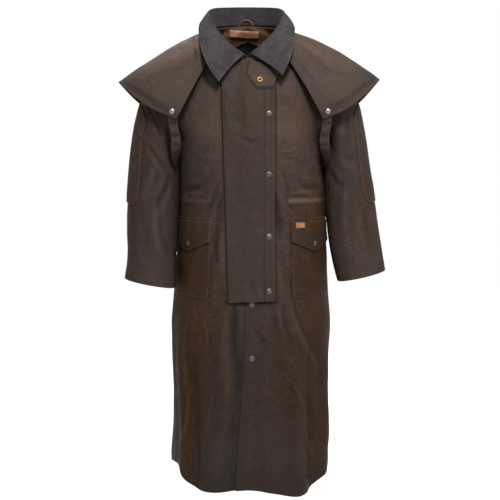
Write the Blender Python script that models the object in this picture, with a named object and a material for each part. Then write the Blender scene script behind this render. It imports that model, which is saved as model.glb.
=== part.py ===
"""A full-length oilskin duster coat with a shoulder cape, in the hollow form that it has when worn.

Metres. +Z is up, -Y is the coat's front and +X is the wearer's left. The origin is at the height of
the back neck seam, over the wearer's shoulders, which hold the coat up. Every cloth piece is a thin
closed wall. Its outer face is worked out from sections of the body, sleeves, cape and collar.
"""

import math

import bmesh
import bpy
import numpy as np
from mathutils import Vector

# Driving sizes
CLOTH = 0.0018
COLLAR_CLOTH = 0.0022
SEAM_GAP = 0.0004
LAY_GAP = 0.0007
LAYER = CLOTH + LAY_GAP
NECK_X = -0.008
ARMPIT_Z = -0.315
SHOULDER_X = 0.213
SHOULDER_Z = -0.076
ARMHOLE_HALF_DEPTH = 0.088
SQUARENESS = 2.15
SNAP_RADIUS = 0.0076
SNAP_HEIGHT = 0.0026
SNAP_GAP = 0.0007
STRAP_WIDTH = 0.025

# Torso sections: height, half width on the wearer's right and left, and depth in front of the side
# line and behind it
TORSO = [
    ("z", "right", "left", "front", "back"),
    (-1.290, 0.2150, 0.2185, 0.168, 0.160),
    (-1.190, 0.2180, 0.2185, 0.164, 0.157),
    (-1.120, 0.2135, 0.2215, 0.161, 0.155),
    (-1.000, 0.2155, 0.2165, 0.157, 0.150),
    (-0.920, 0.2180, 0.2190, 0.154, 0.146),
    (-0.830, 0.2185, 0.2240, 0.152, 0.142),
    (-0.745, 0.2120, 0.2185, 0.149, 0.134),
    (-0.610, 0.2030, 0.2125, 0.145, 0.124),
    (-0.520, 0.1985, 0.2095, 0.139, 0.118),
    (-0.430, 0.1968, 0.2040, 0.142, 0.123),
    (ARMPIT_Z, 0.1965, 0.1965, 0.143, 0.129),
]

# Side seam: it runs down the side and comes forward below the hip
SIDE_SEAM = [("z", "angle"), (-1.26, 62.0), (-1.05, 72.0), (-0.86, 86.0), (-0.76, 90.0), (ARMPIT_Z, 90.0)]

# Hem height round the coat: 0 degrees is the front, positive angles go to the wearer's left
HEM = [
    ("angle", "z"),
    (-180.0, -1.238),
    (-120.0, -1.226),
    (-90.0, -1.212),
    (-64.0, -1.206),
    (-52.0, -1.232),
    (-36.0, -1.260),
    (-20.0, -1.261),
    (-2.0, -1.252),
    (16.0, -1.264),
    (34.0, -1.275),
    (48.0, -1.268),
    (64.0, -1.236),
    (90.0, -1.210),
    (130.0, -1.224),
    (180.0, -1.238),
]

# Centre lines above the armpit: the chest leans back to the front neck, the back rounds to the neck
CHEST_LINE = [
    ("z", "y"), (ARMPIT_Z, -0.143), (-0.25, -0.140), (-0.19, -0.131), (-0.14, -0.115), (-0.099, -0.097)
]
BACK_LINE = [("z", "y"), (ARMPIT_Z, 0.129), (-0.22, 0.134), (-0.13, 0.129), (-0.06, 0.109), (0.003, 0.078)]
FRONT_NECK = Vector((NECK_X, -0.097, -0.099))
SIDE_NECK = Vector((0.087, 0.006, -0.010))
BACK_NECK = Vector((NECK_X, 0.078, 0.003))

# Rows up the body: 0 is the hem, 1 the armpit, 2 the shoulder seam
LOWER_ROWS = [i / 12 for i in range(12)]
UPPER_ROWS = [1.0, 1.12, 1.24, 1.36, 1.46, 1.56, 1.66, 1.73, 1.80, 1.85, 1.90, 1.95, 2.0]
FRONT_NECK_ROW = 1.66
BACK_NECK_ROW = 1.80
FACING_ROW = 1.66
PANEL_COLUMNS = 15
BODY_RADIUS = 0.18

# Largest folds of the body: a line from its top to its low end, its half width and its depth outwards
BODY_FOLDS = [
    ("top_angle", "top_z", "low_angle", "low_z", "half_width", "depth"),
    (19.0, -0.44, 25.0, -0.53, 0.013, 0.005),
    (30.0, -0.34, 58.0, -0.48, 0.020, 0.005),
    (-24.0, -0.55, -26.0, -0.76, 0.015, 0.005),
    (-34.0, -0.80, -27.0, -1.26, 0.038, 0.011),
    (-56.0, -0.80, -50.0, -1.24, 0.026, 0.011),
    (-44.0, -0.84, -40.0, -1.24, 0.020, -0.007),
    (-13.0, -0.79, -15.0, -1.26, 0.020, -0.010),
    (19.0, -0.78, 33.0, -1.00, 0.022, 0.009),
    (36.0, -0.84, 30.0, -1.27, 0.032, 0.010),
    (50.0, -0.80, 52.0, -1.26, 0.022, -0.011),
    (70.0, -0.90, 66.0, -1.22, 0.026, 0.008),
    (-150.0, -0.58, -146.0, -1.24, 0.036, 0.014),
    (-122.0, -0.70, -116.0, -1.22, 0.030, 0.011),
    (180.0, -0.50, 179.0, -1.24, 0.026, -0.014),
    (152.0, -0.60, 148.0, -1.24, 0.036, 0.014),
    (124.0, -0.74, 120.0, -1.22, 0.030, 0.011),
    (168.0, -0.34, 146.0, -0.52, 0.026, 0.007),
    (-168.0, -0.34, -146.0, -0.52, 0.026, 0.007),
]

# Sleeve sections from armhole to cuff, seen from the front: the end near the body, the outer end,
# how far forward the middle lies and the half depth. The first row of each is the armhole.
RIGHT_ARM = [
    ("inner_x", "inner_z", "outer_x", "outer_z", "mid_y", "half_depth"),
    (0.1965, -0.315, SHOULDER_X, SHOULDER_Z, 0.000, ARMHOLE_HALF_DEPTH),
    (0.2050, -0.319, 0.250, -0.108, 0.000, 0.0890),
    (0.2080, -0.330, 0.284, -0.156, -0.002, 0.0880),
    (0.2060, -0.350, 0.307, -0.222, -0.004, 0.0850),
    (0.2020, -0.396, 0.324, -0.300, -0.008, 0.0800),
    (0.1995, -0.458, 0.334, -0.396, -0.014, 0.0760),
    (0.2022, -0.528, 0.3400, -0.494, -0.026, 0.0720),
    (0.2050, -0.598, 0.3400, -0.570, -0.044, 0.0680),
    (0.2030, -0.664, 0.3365, -0.641, -0.064, 0.0640),
    (0.2020, -0.724, 0.3420, -0.698, -0.084, 0.0610),
]
LEFT_ARM = [
    ("inner_x", "inner_z", "outer_x", "outer_z", "mid_y", "half_depth"),
    (0.1965, -0.315, SHOULDER_X, SHOULDER_Z, 0.000, ARMHOLE_HALF_DEPTH),
    (0.2050, -0.319, 0.250, -0.108, 0.000, 0.0890),
    (0.2100, -0.330, 0.281, -0.156, -0.002, 0.0880),
    (0.2090, -0.350, 0.302, -0.222, -0.004, 0.0850),
    (0.2075, -0.394, 0.318, -0.300, -0.006, 0.0800),
    (0.2085, -0.454, 0.332, -0.396, -0.010, 0.0760),
    (0.2112, -0.522, 0.3470, -0.490, -0.018, 0.0710),
    (0.2165, -0.590, 0.3560, -0.562, -0.032, 0.0670),
    (0.2260, -0.652, 0.3630, -0.623, -0.050, 0.0630),
    (0.2390, -0.708, 0.3710, -0.677, -0.068, 0.0600),
]
ARM_ROWS = 15
ARM_COLUMNS = 24
ARM_LENGTH = 0.65

# Folds of the sleeves: place down the sleeve from 0 to 1, angle round it (0 outer, 90 front, 180 inner)
RIGHT_ARM_FOLDS = [
    ("top_t", "top_angle", "low_t", "low_angle", "half_width", "depth"),
    (0.34, 60.0, 0.62, 96.0, 0.017, 0.005),
    (0.28, 122.0, 0.42, 108.0, 0.014, -0.005),
    (0.56, 170.0, 0.70, 118.0, 0.014, -0.006),
    (0.66, 160.0, 0.98, 132.0, 0.018, 0.005),
    (0.52, -100.0, 0.60, -150.0, 0.016, -0.005),
]
LEFT_ARM_FOLDS = [
    ("top_t", "top_angle", "low_t", "low_angle", "half_width", "depth"),
    (0.30, 118.0, 0.60, 128.0, 0.017, 0.004),
    (0.30, 84.0, 0.56, 92.0, 0.018, -0.003),
    (0.62, 112.0, 0.98, 100.0, 0.022, 0.004),
    (0.52, -100.0, 0.60, -150.0, 0.016, -0.005),
]

# Elbow patch: its first and last ring on the sleeve, its two edges and how far its corners are cut
PATCH_FIRST_RING = 5
PATCH_LAST_RING = 10
PATCH_FRONT_ANGLE = 60.0
PATCH_BACK_ANGLE = -105.0
PATCH_CUT = 20.0
PATCH_HEIGHT = LAYER + 0.0008

# Shoulder cape, half of it from its front edge to the centre back: where it leaves the neck, a point
# that bows it outwards, and its hem
CAPE_S = 1 / PANEL_COLUMNS
CAPE = [
    ("neck_row", "neck_s", "bow_x", "bow_y", "bow_z", "hem_x", "hem_y", "hem_z"),
    (1.85, CAPE_S, 0.135, -0.135, -0.140, 0.1975, -0.1250, -0.2660),
    (1.90, CAPE_S, 0.168, -0.132, -0.108, 0.2600, -0.1180, -0.2400),
    (1.95, CAPE_S, 0.192, -0.100, -0.046, 0.3200, -0.0800, -0.1950),
    (2.00, CAPE_S, 0.200, 0.004, -0.010, 0.3640, 0.0080, -0.1520),
    (1.96, CAPE_S, 0.192, 0.098, -0.040, 0.3240, 0.0900, -0.2040),
    (1.92, CAPE_S, 0.150, 0.140, -0.078, 0.2500, 0.1420, -0.2720),
    (1.86, CAPE_S, 0.085, 0.162, -0.070, 0.1350, 0.1640, -0.3150),
    (1.78, 0.00, 0.000, 0.170, -0.060, 0.0000, 0.1700, -0.3300),
]
CAPE_SHOULDER_T = 3 / 7
CAPE_RIGHT_DROP = 0.007
CAPE_RIGHT_SPREAD = 0.005
CAPE_COLUMNS = 18
CAPE_ROWS = 7
CAPE_NECK_HEIGHT = LAYER + 0.0002
CAPE_SNAP_T = 0.045
CAPE_SNAP_U = 0.95

# Strap of the cape, from its front corner under the arm to its back: how far it lies beyond the body's
# side, and which way its width lies. It turns edge on to pass between the body and the sleeve.
STRAP = [
    ("beyond", "y", "z", "across_x", "across_z"),
    (0.0095, -0.1150, -0.252, 1.0, 0.00),
    (0.0095, -0.1040, -0.310, 1.0, 0.00),
    (0.0080, -0.0930, -0.350, 1.0, -0.30),
    (0.0030, -0.0560, -0.376, 0.5, -0.85),
    (0.0012, 0.0000, -0.386, 0.0, -1.00),
    (0.0030, 0.0560, -0.376, 0.5, -0.85),
    (0.0080, 0.0960, -0.345, 1.0, -0.30),
    (0.0095, 0.1130, -0.305, 1.0, 0.00),
    (0.0095, 0.1250, -0.262, 1.0, 0.00),
]
STRAP_ROWS = 20
STRAP_BLEND = 6
STRAP_SEAT = 0.0010
STRAP_BACK_T = 0.80
STRAP_BACK_U = 0.90

# Collar, from the wearer's right front end round the back to the left front end: the roll line at
# its top and its outer edge
COLLAR = [
    ("round", "roll_x", "roll_y", "roll_z", "edge_x", "edge_y", "edge_z"),
    (-180.0, -0.0160, -0.1060, -0.0930, -0.0830, -0.1400, -0.1660),
    (-138.0, -0.0560, -0.0960, -0.0640, -0.1130, -0.1400, -0.1210),
    (-105.0, -0.0960, -0.0560, -0.0140, -0.1370, -0.0840, -0.0620),
    (-80.0, -0.1170, -0.0020, 0.0300, -0.1440, -0.0020, -0.0080),
    (-45.0, -0.0980, 0.0610, 0.0510, -0.1230, 0.0860, -0.0060),
    (0.0, -0.0100, 0.0930, 0.0570, -0.0100, 0.1250, -0.0080),
    (45.0, 0.0760, 0.0610, 0.0510, 0.1050, 0.0860, -0.0060),
    (80.0, 0.0950, -0.0020, 0.0300, 0.1260, -0.0020, -0.0080),
    (105.0, 0.0760, -0.0540, -0.0140, 0.1220, -0.0840, -0.0560),
    (138.0, 0.0380, -0.0960, -0.0600, 0.1060, -0.1340, -0.1060),
    (180.0, 0.0030, -0.1060, -0.0910, 0.0870, -0.1380, -0.1490),
]
COLLAR_COLUMNS = 32
ROLL_RADIUS = 0.0042
COLLAR_LIFT = 0.0040
COLLAR_BOW = 0.003

# Storm flap over the front closure: its sewn edge slants, its free edge is upright
FLAP_SEAM_TOP_X = -0.079
FLAP_SEAM_LOW_X = -0.059
FLAP_FREE_X = 0.066
FLAP_TOP_Z = -0.114
FLAP_COLUMNS = 10
FLAP_LOW_Z = -0.752
FLAP_SNAP_Z = [-0.252, -0.415, -0.582, -0.727]
FLAP_SNAP_X = 0.0515

# Front closure below the flap: the left front lies over the right one
UNDERLAP_X = 0.030
OVERLAP_TOP_X = -0.011
OVERLAP_LOW_X = -0.035
LIFT_RUN = 0.030
LAP_REACH = 0.009
PARTED = 0.03
HEM_LIFT = 0.007
FRONT_SNAP_Z = [-0.762, -0.906]
FRONT_SNAP_X = 0.0050

# Patch pockets and their pointed flaps, on both fronts
POCKET_FIRST_COLUMN = 5
POCKET_LAST_COLUMN = 13
POCKET_TOP_Z = -0.534
POCKET_LOW_FRONT_Z = -0.752
POCKET_LOW_BACK_Z = -0.738
POCKET_FLAP_TOP_Z = -0.5425
POCKET_FLAP_SIDE_Z = -0.597
POCKET_FLAP_POINT_Z = -0.626
POCKET_SNAP_Z = -0.604
ROW_CLEAR = 0.006

# Throat tab under the left collar wing: its left and right edges, from the top down
TAB = [
    ("left_x", "left_z", "right_x", "right_z"),
    (0.0040, -0.1100, 0.0820, -0.1180),
    (-0.0055, -0.1430, 0.0740, -0.1500),
    (0.0180, -0.1785, 0.0610, -0.1770),
]
TAB_HEIGHT = 0.0056
SOCKET_X = 0.0268
SOCKET_Z = -0.1600

# Hang loop and bare leather patches
LOOP_HALF_WIDTH = 0.019
LOOP_HEIGHT = 0.017
LOOP_RADIUS = 0.0020
LOOP_X = -0.0115
LOOP_Y = 0.0715
LOOP_Z = 0.0045
LABEL_WIDTH = 0.084
LABEL_HEIGHT = 0.020
LABEL_X = -0.0170
LABEL_Z = -0.0195
LABEL_TILT = 0.004
LABEL_REACH = 0.006
LABEL_GAP = 0.0012
LABEL_CLOTH = 0.0012
FLAP_LABEL_S = 0.373
FLAP_LABEL_Z = -0.5460
FLAP_LABEL_HEIGHT = 0.015

COLOURS = {
    "oilskin": (0.070, 0.048, 0.036, 0.62, 0.0),
    "collar_cloth": (0.085, 0.080, 0.084, 0.85, 0.0),
    "leather": (0.420, 0.150, 0.050, 0.60, 0.0),
    "steel": (0.380, 0.360, 0.360, 0.35, 1.0),
    "brass": (0.520, 0.420, 0.160, 0.35, 1.0),
}


def clear_scene():
    for obj in list(bpy.data.objects):
        bpy.data.objects.remove(obj)


def material(slot):
    """The Principled material of a slot, made once."""
    found = bpy.data.materials.get(slot)
    if found:
        return found
    red, green, blue, roughness, metallic = COLOURS[slot]
    made = bpy.data.materials.new(slot)
    made.use_nodes = True
    shader = made.node_tree.nodes["Principled BSDF"]
    shader.inputs["Base Color"].default_value = (red, green, blue, 1.0)
    shader.inputs["Roughness"].default_value = roughness
    shader.inputs["Metallic"].default_value = metallic
    return made


def read(table, column, at):
    """A table's column at a value of its first column, on a smooth curve through the rows."""
    names, rows = table[0], table[1:]
    c = names.index(column)
    if at <= rows[0][0]:
        return rows[0][c]
    if at >= rows[-1][0]:
        return rows[-1][c]
    k = next(i for i in range(len(rows) - 1) if at <= rows[i + 1][0])
    return hermite(rows, k, c, (at - rows[k][0]) / (rows[k + 1][0] - rows[k][0]))


def slope(rows, k, c):
    """The slope of column c at row k, limited so that the curve doesn't overshoot."""
    if k in (0, len(rows) - 1):
        a, b = (0, 1) if k == 0 else (k - 1, k)
        return (rows[b][c] - rows[a][c]) / (rows[b][0] - rows[a][0])
    before = (rows[k][c] - rows[k - 1][c]) / (rows[k][0] - rows[k - 1][0])
    after = (rows[k + 1][c] - rows[k][c]) / (rows[k + 1][0] - rows[k][0])
    if before * after <= 0:
        return 0.0
    return 2 * before * after / (before + after)


def hermite(rows, k, c, t):
    step = rows[k + 1][0] - rows[k][0]
    start, end = slope(rows, k, c) * step, slope(rows, k + 1, c) * step
    a, b = rows[k][c], rows[k + 1][c]
    return a + t * start + t * t * (3 * (b - a) - 2 * start - end) + t**3 * (2 * (a - b) + start + end)


def along(table, t):
    """All columns of a table with evenly spaced rows, at t from 0 to 1, on a smooth curve."""
    rows = [(i / (len(table) - 2), *row) for i, row in enumerate(table[1:])]
    k = min(int(t * (len(rows) - 1)), len(rows) - 2)
    local = t * (len(rows) - 1) - k
    return [natural(rows, k, c + 1, local) for c in range(len(table[0]))]


def natural(rows, k, c, t):
    """A Catmull-Rom curve through column c."""
    p1, p2 = rows[k][c], rows[k + 1][c]
    p0 = rows[k - 1][c] if k > 0 else 2 * p1 - p2
    p3 = rows[k + 2][c] if k + 2 < len(rows) else 2 * p2 - p1
    a = 2 * p1
    b = p2 - p0
    c2 = 2 * p0 - 5 * p1 + 4 * p2 - p3
    d = 3 * p1 - p0 - 3 * p2 + p3
    return (a + b * t + c2 * t * t + d * t**3) / 2


def ease(x):
    """0 below 0, 1 above 1, and smooth between."""
    x = min(1.0, max(0.0, x))
    return x * x * (3 - 2 * x)


def signed_power(value, power):
    return math.copysign(abs(value) ** power, value)


def fold_height(folds, across, down, scale, length=1.0):
    """The folds' height at a place. Each is a soft ridge or trough along a line."""
    total = 0.0
    for top_a, top_d, low_a, low_d, half_width, depth in folds[1:]:
        t = (down - top_d) / (low_d - top_d)
        middle = top_a + (low_a - top_a) * min(1.0, max(0.0, t))
        gap = (across - middle + 180.0) % 360.0 - 180.0
        side = math.radians(gap) * scale / half_width
        beyond = max(0.0, -t, t - 1.0) * abs(low_d - top_d) * length / (2.0 * half_width)
        fade = ease((t + 0.1) / 0.35) if t < 0.5 else 1.0
        total += depth * math.exp(-side * side - beyond * beyond) * fade
    return total


# Body


def torso_point(angle, z):
    """A point of the body's outer face below the armpits. The angle is in degrees from the front."""
    a = math.radians(angle)
    half = read(TORSO, "left" if angle > 0 else "right", z)
    forward = math.cos(a)
    depth = read(TORSO, "front" if forward > 0 else "back", z)
    power = 2 / SQUARENESS
    out = 1 + fold_height(BODY_FOLDS, angle, z, BODY_RADIUS) / BODY_RADIUS
    x = half * signed_power(math.sin(a), power) * out
    y = -depth * signed_power(forward, power) * out
    return Vector((x, y, z))


def armhole(side, turn, face):
    """The armhole's edge: turn is 0 at the shoulder and pi at the armpit, face -1 in front, 1 behind."""
    inner_x, inner_z, outer_x, outer_z = RIGHT_ARM[1][:4]
    x = (inner_x + outer_x) / 2 + (outer_x - inner_x) / 2 * math.cos(turn)
    z = (inner_z + outer_z) / 2 + (outer_z - inner_z) / 2 * math.cos(turn)
    return Vector((side * x, face * ARMHOLE_HALF_DEPTH * math.sin(turn), z))


def armhole_mitre(side, turn, face):
    """The direction of the seam's thickness at the armhole, shared by the body and the sleeve."""
    return Vector((side * 0.6, face * math.sin(turn), math.cos(turn))).normalized()


def neckline(side, share, face):
    """The neck seam on one side: share 0 at the centre and 1 at the shoulder seam."""
    a = share * math.pi / 2
    centre = FRONT_NECK if face < 0 else BACK_NECK
    x = NECK_X + side * SIDE_NECK.x * math.sin(a)
    y = SIDE_NECK.y + (centre.y - SIDE_NECK.y) * math.cos(a)
    z = SIDE_NECK.z + (centre.z - SIDE_NECK.z) * (math.cos(a) ** 1.4 if face < 0 else math.cos(a))
    return Vector((x, y, z))


def upper_row(side, row, face):
    """The two ends of a row above the armpit, and how straight the row is between them."""
    neck_row = FRONT_NECK_ROW if face < 0 else BACK_NECK_ROW
    line = CHEST_LINE if face < 0 else BACK_LINE
    end = armhole(side, math.pi * (2 - row), face)
    if row <= neck_row:
        at_neck = armhole(side, math.pi * (2 - neck_row), face).z
        share = (end.z - ARMPIT_Z) / (at_neck - ARMPIT_Z)
        z = ARMPIT_Z + (line[-1][0] - ARMPIT_Z) * share
        start = Vector((NECK_X * share, read(line, "y", z), z))
    else:
        start = neckline(side, (row - neck_row) / (2 - neck_row), face)
    straight = 0.85 * ease((row - 1) / 0.45) + 0.15 * ease((row - 1.5) / 0.5)
    return start, end, straight


def upper_point(row, s, face):
    """A point of the front or back above the armpits: s is 0 at the centre and 1 or -1 at the armhole."""
    side = 1 if s >= 0 else -1
    start, end, straight = upper_row(side, row, face)
    power = 2 / SQUARENESS
    a = abs(s) * math.pi / 2
    across = (1 - straight) * math.sin(a) ** power + straight * abs(s)
    deep = (1 - straight) * max(0.0, math.cos(a)) ** power + straight * (1 - abs(s))
    point = Vector((
        start.x + (end.x - start.x) * across,
        end.y + (start.y - end.y) * deep,
        start.z + (end.z - start.z) * abs(s),
    ))
    angle = s * 90 if face < 0 else side * (180 - abs(s) * 90)
    lift = fold_height(BODY_FOLDS, angle, point.z, BODY_RADIUS)
    return point + Vector((0, face * lift * (1 - s * s) * ease((FRONT_NECK_ROW - row) / 0.3), 0))


def body_point(face, row, s):
    """A point of the front or back: row 0 hem, 1 armpit, 2 shoulder; s 0 centre, 1 wearer's left."""
    if row > 1:
        return upper_point(row, s, face)
    side = 1 if s >= 0 else -1
    z = ARMPIT_Z
    for _ in range(3):
        seam = read(SIDE_SEAM, "angle", z)
        angle = s * seam if face < 0 else side * (180 - abs(s) * (180 - seam))
        z = read(HEM, "z", angle) * (1 - row) + ARMPIT_Z * row
    return torso_point(angle, z)


def body_normal(face, row, s, step=0.004):
    """The outward normal of the front or back, from points on the same side of the centre line."""
    side = 1 if s >= 0 else -1
    if row == 2:
        slope_line = armhole(side, 0, face) - neckline(side, 1, face)
        return Vector((-slope_line.z * side, 0, slope_line.x * side)).normalized()
    if row > 1 - 1e-6 and abs(s) > 1 - 1e-6:
        return armhole_mitre(side, math.pi * (2 - row), face)
    reach = 1 + step if row < 1 else 1
    near, far = max(abs(s) - step, 1e-6), min(abs(s) + step, reach)
    left = (body_point(face, row, side * far) - body_point(face, row, side * near)) * side
    up = body_point(face, min(row + step, 2), s) - body_point(face, row - step, s)
    normal = left.cross(up).normalized()
    return normal if face < 0 else -normal


def on_body(face, row, s, height):
    """A point over the front or back, at a height above the cloth's outer face."""
    return body_point(face, row, s) + body_normal(face, row, s) * height


def front_place(x, z):
    """The row and s of the fronts at an X and a Z."""
    row = (z + 1.24) / 0.925 if z < ARMPIT_Z else 1 + 0.66 * (z - ARMPIT_Z) / 0.216
    s = x / 0.25
    for _ in range(10):
        here = body_point(-1, row, s)
        by_row = (body_point(-1, row + 0.002, s) - here) / 0.002
        by_s = (body_point(-1, row, s + 0.002) - here) / 0.002
        det = by_row.x * by_s.z - by_row.z * by_s.x
        dx, dz = x - here.x, z - here.z
        row += (dx * by_s.z - dz * by_s.x) / det
        s += (dz * by_row.x - dx * by_row.z) / det
    return row, s


def overlap_x(row):
    """The left front's free edge: upright to the storm flap's hem, then swinging to the right."""
    return OVERLAP_TOP_X + (OVERLAP_LOW_X - OVERLAP_TOP_X) * ease((0.50 - row) / 0.50)


def overlap_height(row, x):
    """How far the left front stands out, to lie over the right front."""
    lift = LAYER * ease((FLAP_FREE_X - x) / LIFT_RUN)
    loose = HEM_LIFT * ease((0.34 - row) / 0.34) * ease((UNDERLAP_X - x) / 0.06)
    return lift + loose


def facet_y(points, x, z):
    """The Y of a panel's flat facets at an X and a Z. Rows that are parted at X are left out."""
    ys, zs = [], []
    for row in points:
        line = sorted(row, key=lambda p: p.x)
        k = max([i for i, p in enumerate(line[:-1]) if p.x <= x], default=0)
        low, high = line[k], line[k + 1]
        if high.x - low.x > PARTED:
            continue
        share = min(1.0, max(0.0, (x - low.x) / max(high.x - low.x, 1e-9)))
        ys.append(low.y + (high.y - low.y) * share)
        zs.append(low.z + (high.z - low.z) * share)
    return float(np.interp(z, zs, ys))


def under_y(fronts, x, z):
    """The Y of the foremost cloth of both fronts round an X and a Z."""
    found = []
    for dx in (-LAP_REACH, 0, LAP_REACH):
        for dz in (-LAP_REACH / 2, LAP_REACH / 2):
            if x + dx > OVERLAP_TOP_X - LAP_REACH:
                found.append(facet_y(fronts["left"], x + dx, z + dz))
            if x + dx < UNDERLAP_X:
                found.append(facet_y(fronts["right"], x + dx, z + dz))
    return min(found)


def over_fronts(fronts, x, z, height):
    """A point in front of both fronts, at a height over the foremost cloth."""
    return Vector((x, under_y(fronts, x, z) - height, z))


# Walls


def grid_normals(grid, wrap):
    """Unit normals of a grid of points, from its rows and columns."""
    down = np.gradient(grid, axis=0)
    if wrap:
        around = (np.roll(grid, -1, axis=1) - np.roll(grid, 1, axis=1)) / 2
    else:
        around = np.gradient(grid, axis=1)
    normals = np.cross(around, down)
    return normals / np.linalg.norm(normals, axis=2, keepdims=True)


def pull_in(grid, border, amount):
    """Pulls a border of a grid in along the surface, to leave a seam gap."""
    if border in ("first", "last"):
        edge, inner = (0, 1) if border == "first" else (-1, -2)
        way = grid[inner] - grid[edge]
        grid[edge] += way / np.maximum(np.linalg.norm(way, axis=1, keepdims=True), 1e-9) * amount
    else:
        edge, inner = (0, 1) if border == "start" else (-1, -2)
        way = grid[:, inner] - grid[:, edge]
        grid[:, edge] += way / np.linalg.norm(way, axis=1, keepdims=True) * amount


def wall(
    name, slot, points, outward, normals=None, thick=CLOTH, kept=None, same=None, wrap=False, trims=()
):
    """A closed wall of even thickness behind a grid of outer points.

    outward is (row, column, direction) and says which way the outer face looks there. kept says which
    cells are cloth, same gives the place that a repeated point shares, and trims lists the borders
    that are pulled in for a seam, with how far.
    """
    grid = np.array([[tuple(p) for p in row] for row in points])
    if normals is None:
        normals = grid_normals(grid, wrap)
    else:
        normals = np.array([[tuple(n) for n in row] for row in normals])
    i, j, direction = outward
    if np.dot(normals[i, j], direction) < 0:
        normals = -normals
    for border, amount in trims:
        pull_in(grid, border, amount)
    faces = (grid, grid - normals * thick)
    rows, columns = grid.shape[:2]
    mesh = bmesh.new()
    made = {}

    def vertex(i, j, face):
        i, j = same(i, j % columns) if same else (i, j % columns)
        if (i, j, face) not in made:
            made[i, j, face] = mesh.verts.new(faces[face][i, j])
        return made[i, j, face]

    uses = {}
    for i in range(rows - 1):
        for j in range(columns if wrap else columns - 1):
            if kept and not kept(i, j):
                continue
            corners = [(i, j), (i, j + 1), (i + 1, j + 1), (i + 1, j)]
            for face in (0, 1):
                a, b, c, d = (vertex(*corner, face) for corner in corners)
                mesh.faces.new((a, b, c))
                mesh.faces.new((a, c, d))
            for p, q in zip(corners, corners[1:] + corners[:1]):
                key = frozenset((vertex(*p, 0), vertex(*q, 0)))
                uses.setdefault(key, []).append((p, q))
    for pairs in uses.values():
        if len(pairs) == 1:
            p, q = pairs[0]
            a, b, c, d = vertex(*p, 0), vertex(*q, 0), vertex(*q, 1), vertex(*p, 1)
            mesh.faces.new((a, b, c))
            mesh.faces.new((a, c, d))
    return piece(name, mesh, slot)


def piece(name, mesh, slot, sharp=40):
    """Makes an object of a closed mesh, facing out and shaded smooth."""
    bmesh.ops.recalc_face_normals(mesh, faces=mesh.faces)
    data = bpy.data.meshes.new(name)
    mesh.to_mesh(data)
    mesh.free()
    data.shade_smooth()
    data.set_sharp_from_angle(angle=math.radians(sharp))
    data.materials.append(material(slot))
    obj = bpy.data.objects.new(name, data)
    bpy.context.scene.collection.objects.link(obj)
    return obj


def turned(name, slot, place, axis, profile, sides=12):
    """A closed turned piece: the profile lists (radius, height) from its flat base to its crown."""
    axis = axis.normalized()
    across = axis.orthogonal().normalized()
    along_it = axis.cross(across)
    mesh = bmesh.new()
    rings = []
    for radius, height in profile:
        ring = []
        for k in range(sides):
            a = 2 * math.pi * k / sides
            out = across * math.cos(a) + along_it * math.sin(a)
            ring.append(mesh.verts.new(place + out * radius + axis * height))
        rings.append(ring)
    for low, high in zip(rings, rings[1:]):
        for k in range(sides):
            m = (k + 1) % sides
            mesh.faces.new((low[k], low[m], high[m], high[k]))
    mesh.faces.new(rings[0])
    mesh.faces.new(rings[-1])
    return piece(name, mesh, slot)


def tube(name, slot, path, radius, sides=8):
    """A closed round tube along a path of points."""
    mesh = bmesh.new()
    rings = []
    for k, point in enumerate(path):
        ahead = (path[min(k + 1, len(path) - 1)] - path[max(k - 1, 0)]).normalized()
        across = ahead.cross(Vector((0, 1, 0))).normalized()
        other = ahead.cross(across)
        ring = []
        for m in range(sides):
            a = 2 * math.pi * m / sides
            ring.append(mesh.verts.new(point + (across * math.cos(a) + other * math.sin(a)) * radius))
        rings.append(ring)
    for low, high in zip(rings, rings[1:]):
        for m in range(sides):
            n = (m + 1) % sides
            mesh.faces.new((low[m], low[n], high[n], high[m]))
    mesh.faces.new(rings[0])
    mesh.faces.new(rings[-1])
    return piece(name, mesh, slot)


def snap(name, place, normal, radius=SNAP_RADIUS, height=SNAP_HEIGHT):
    """A domed snap cap, just clear of the cloth under it."""
    profile = [(radius, 0), (radius, height * 0.4), (radius * 0.6, height)]
    turned(name, "steel", place, normal, profile)


# Fronts, back and storm flap


def build_front(name, side):
    """One front. Its lap past the centre line is there only below the neck."""
    rows = LOWER_ROWS + UPPER_ROWS
    laps = [-1.0, -0.5]
    shares = [k / PANEL_COLUMNS for k in range(PANEL_COLUMNS + 1)]
    points, normals = [], []
    for row in rows:
        points.append([])
        normals.append([])
        low_row = min(row, FRONT_NECK_ROW)
        lap_x = overlap_x(row) if side > 0 else UNDERLAP_X
        _, lap_s = front_place(lap_x, body_point(-1, low_row, 0).z)
        for share in laps + shares:
            s = side * share if share > 0 else abs(share) * lap_s
            s = s if s else side * 1e-6
            use_row = low_row if share < 0 else row
            normal = body_normal(-1, use_row, s)
            point = body_point(-1, use_row, s)
            if side > 0:
                point += normal * overlap_height(use_row, point.x)
            points[-1].append(point)
            normals[-1].append(normal)
    neck, centre = rows.index(FRONT_NECK_ROW), len(laps)
    trims = [("end", SEAM_GAP / 2), ("last", SEAM_GAP / 2)]
    wall(
        name, "oilskin", points, (0, centre, (0, -1, 0)), normals,
        kept=lambda i, j: i < neck or j >= centre, trims=trims,
    )
    return points[:neck + 1]


def split_grid(height, rows, shares):
    """Points, normals, kept and same for a back panel, whose two halves part above the neck."""
    both = [-share for share in reversed(shares)] + shares
    places = [s if s else (-1e-6 if k < len(shares) else 1e-6) for k, s in enumerate(both)]
    points = [[on_body(1, row, s, height) for s in places] for row in rows]
    normals = [[body_normal(1, row, s) for s in places] for row in rows]
    neck, seam = rows.index(BACK_NECK_ROW), len(shares) - 1
    kept = lambda i, j: j != seam
    same = lambda i, j: (i, seam) if j == seam + 1 and i <= neck else (i, j)
    return points, normals, kept, same


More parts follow.
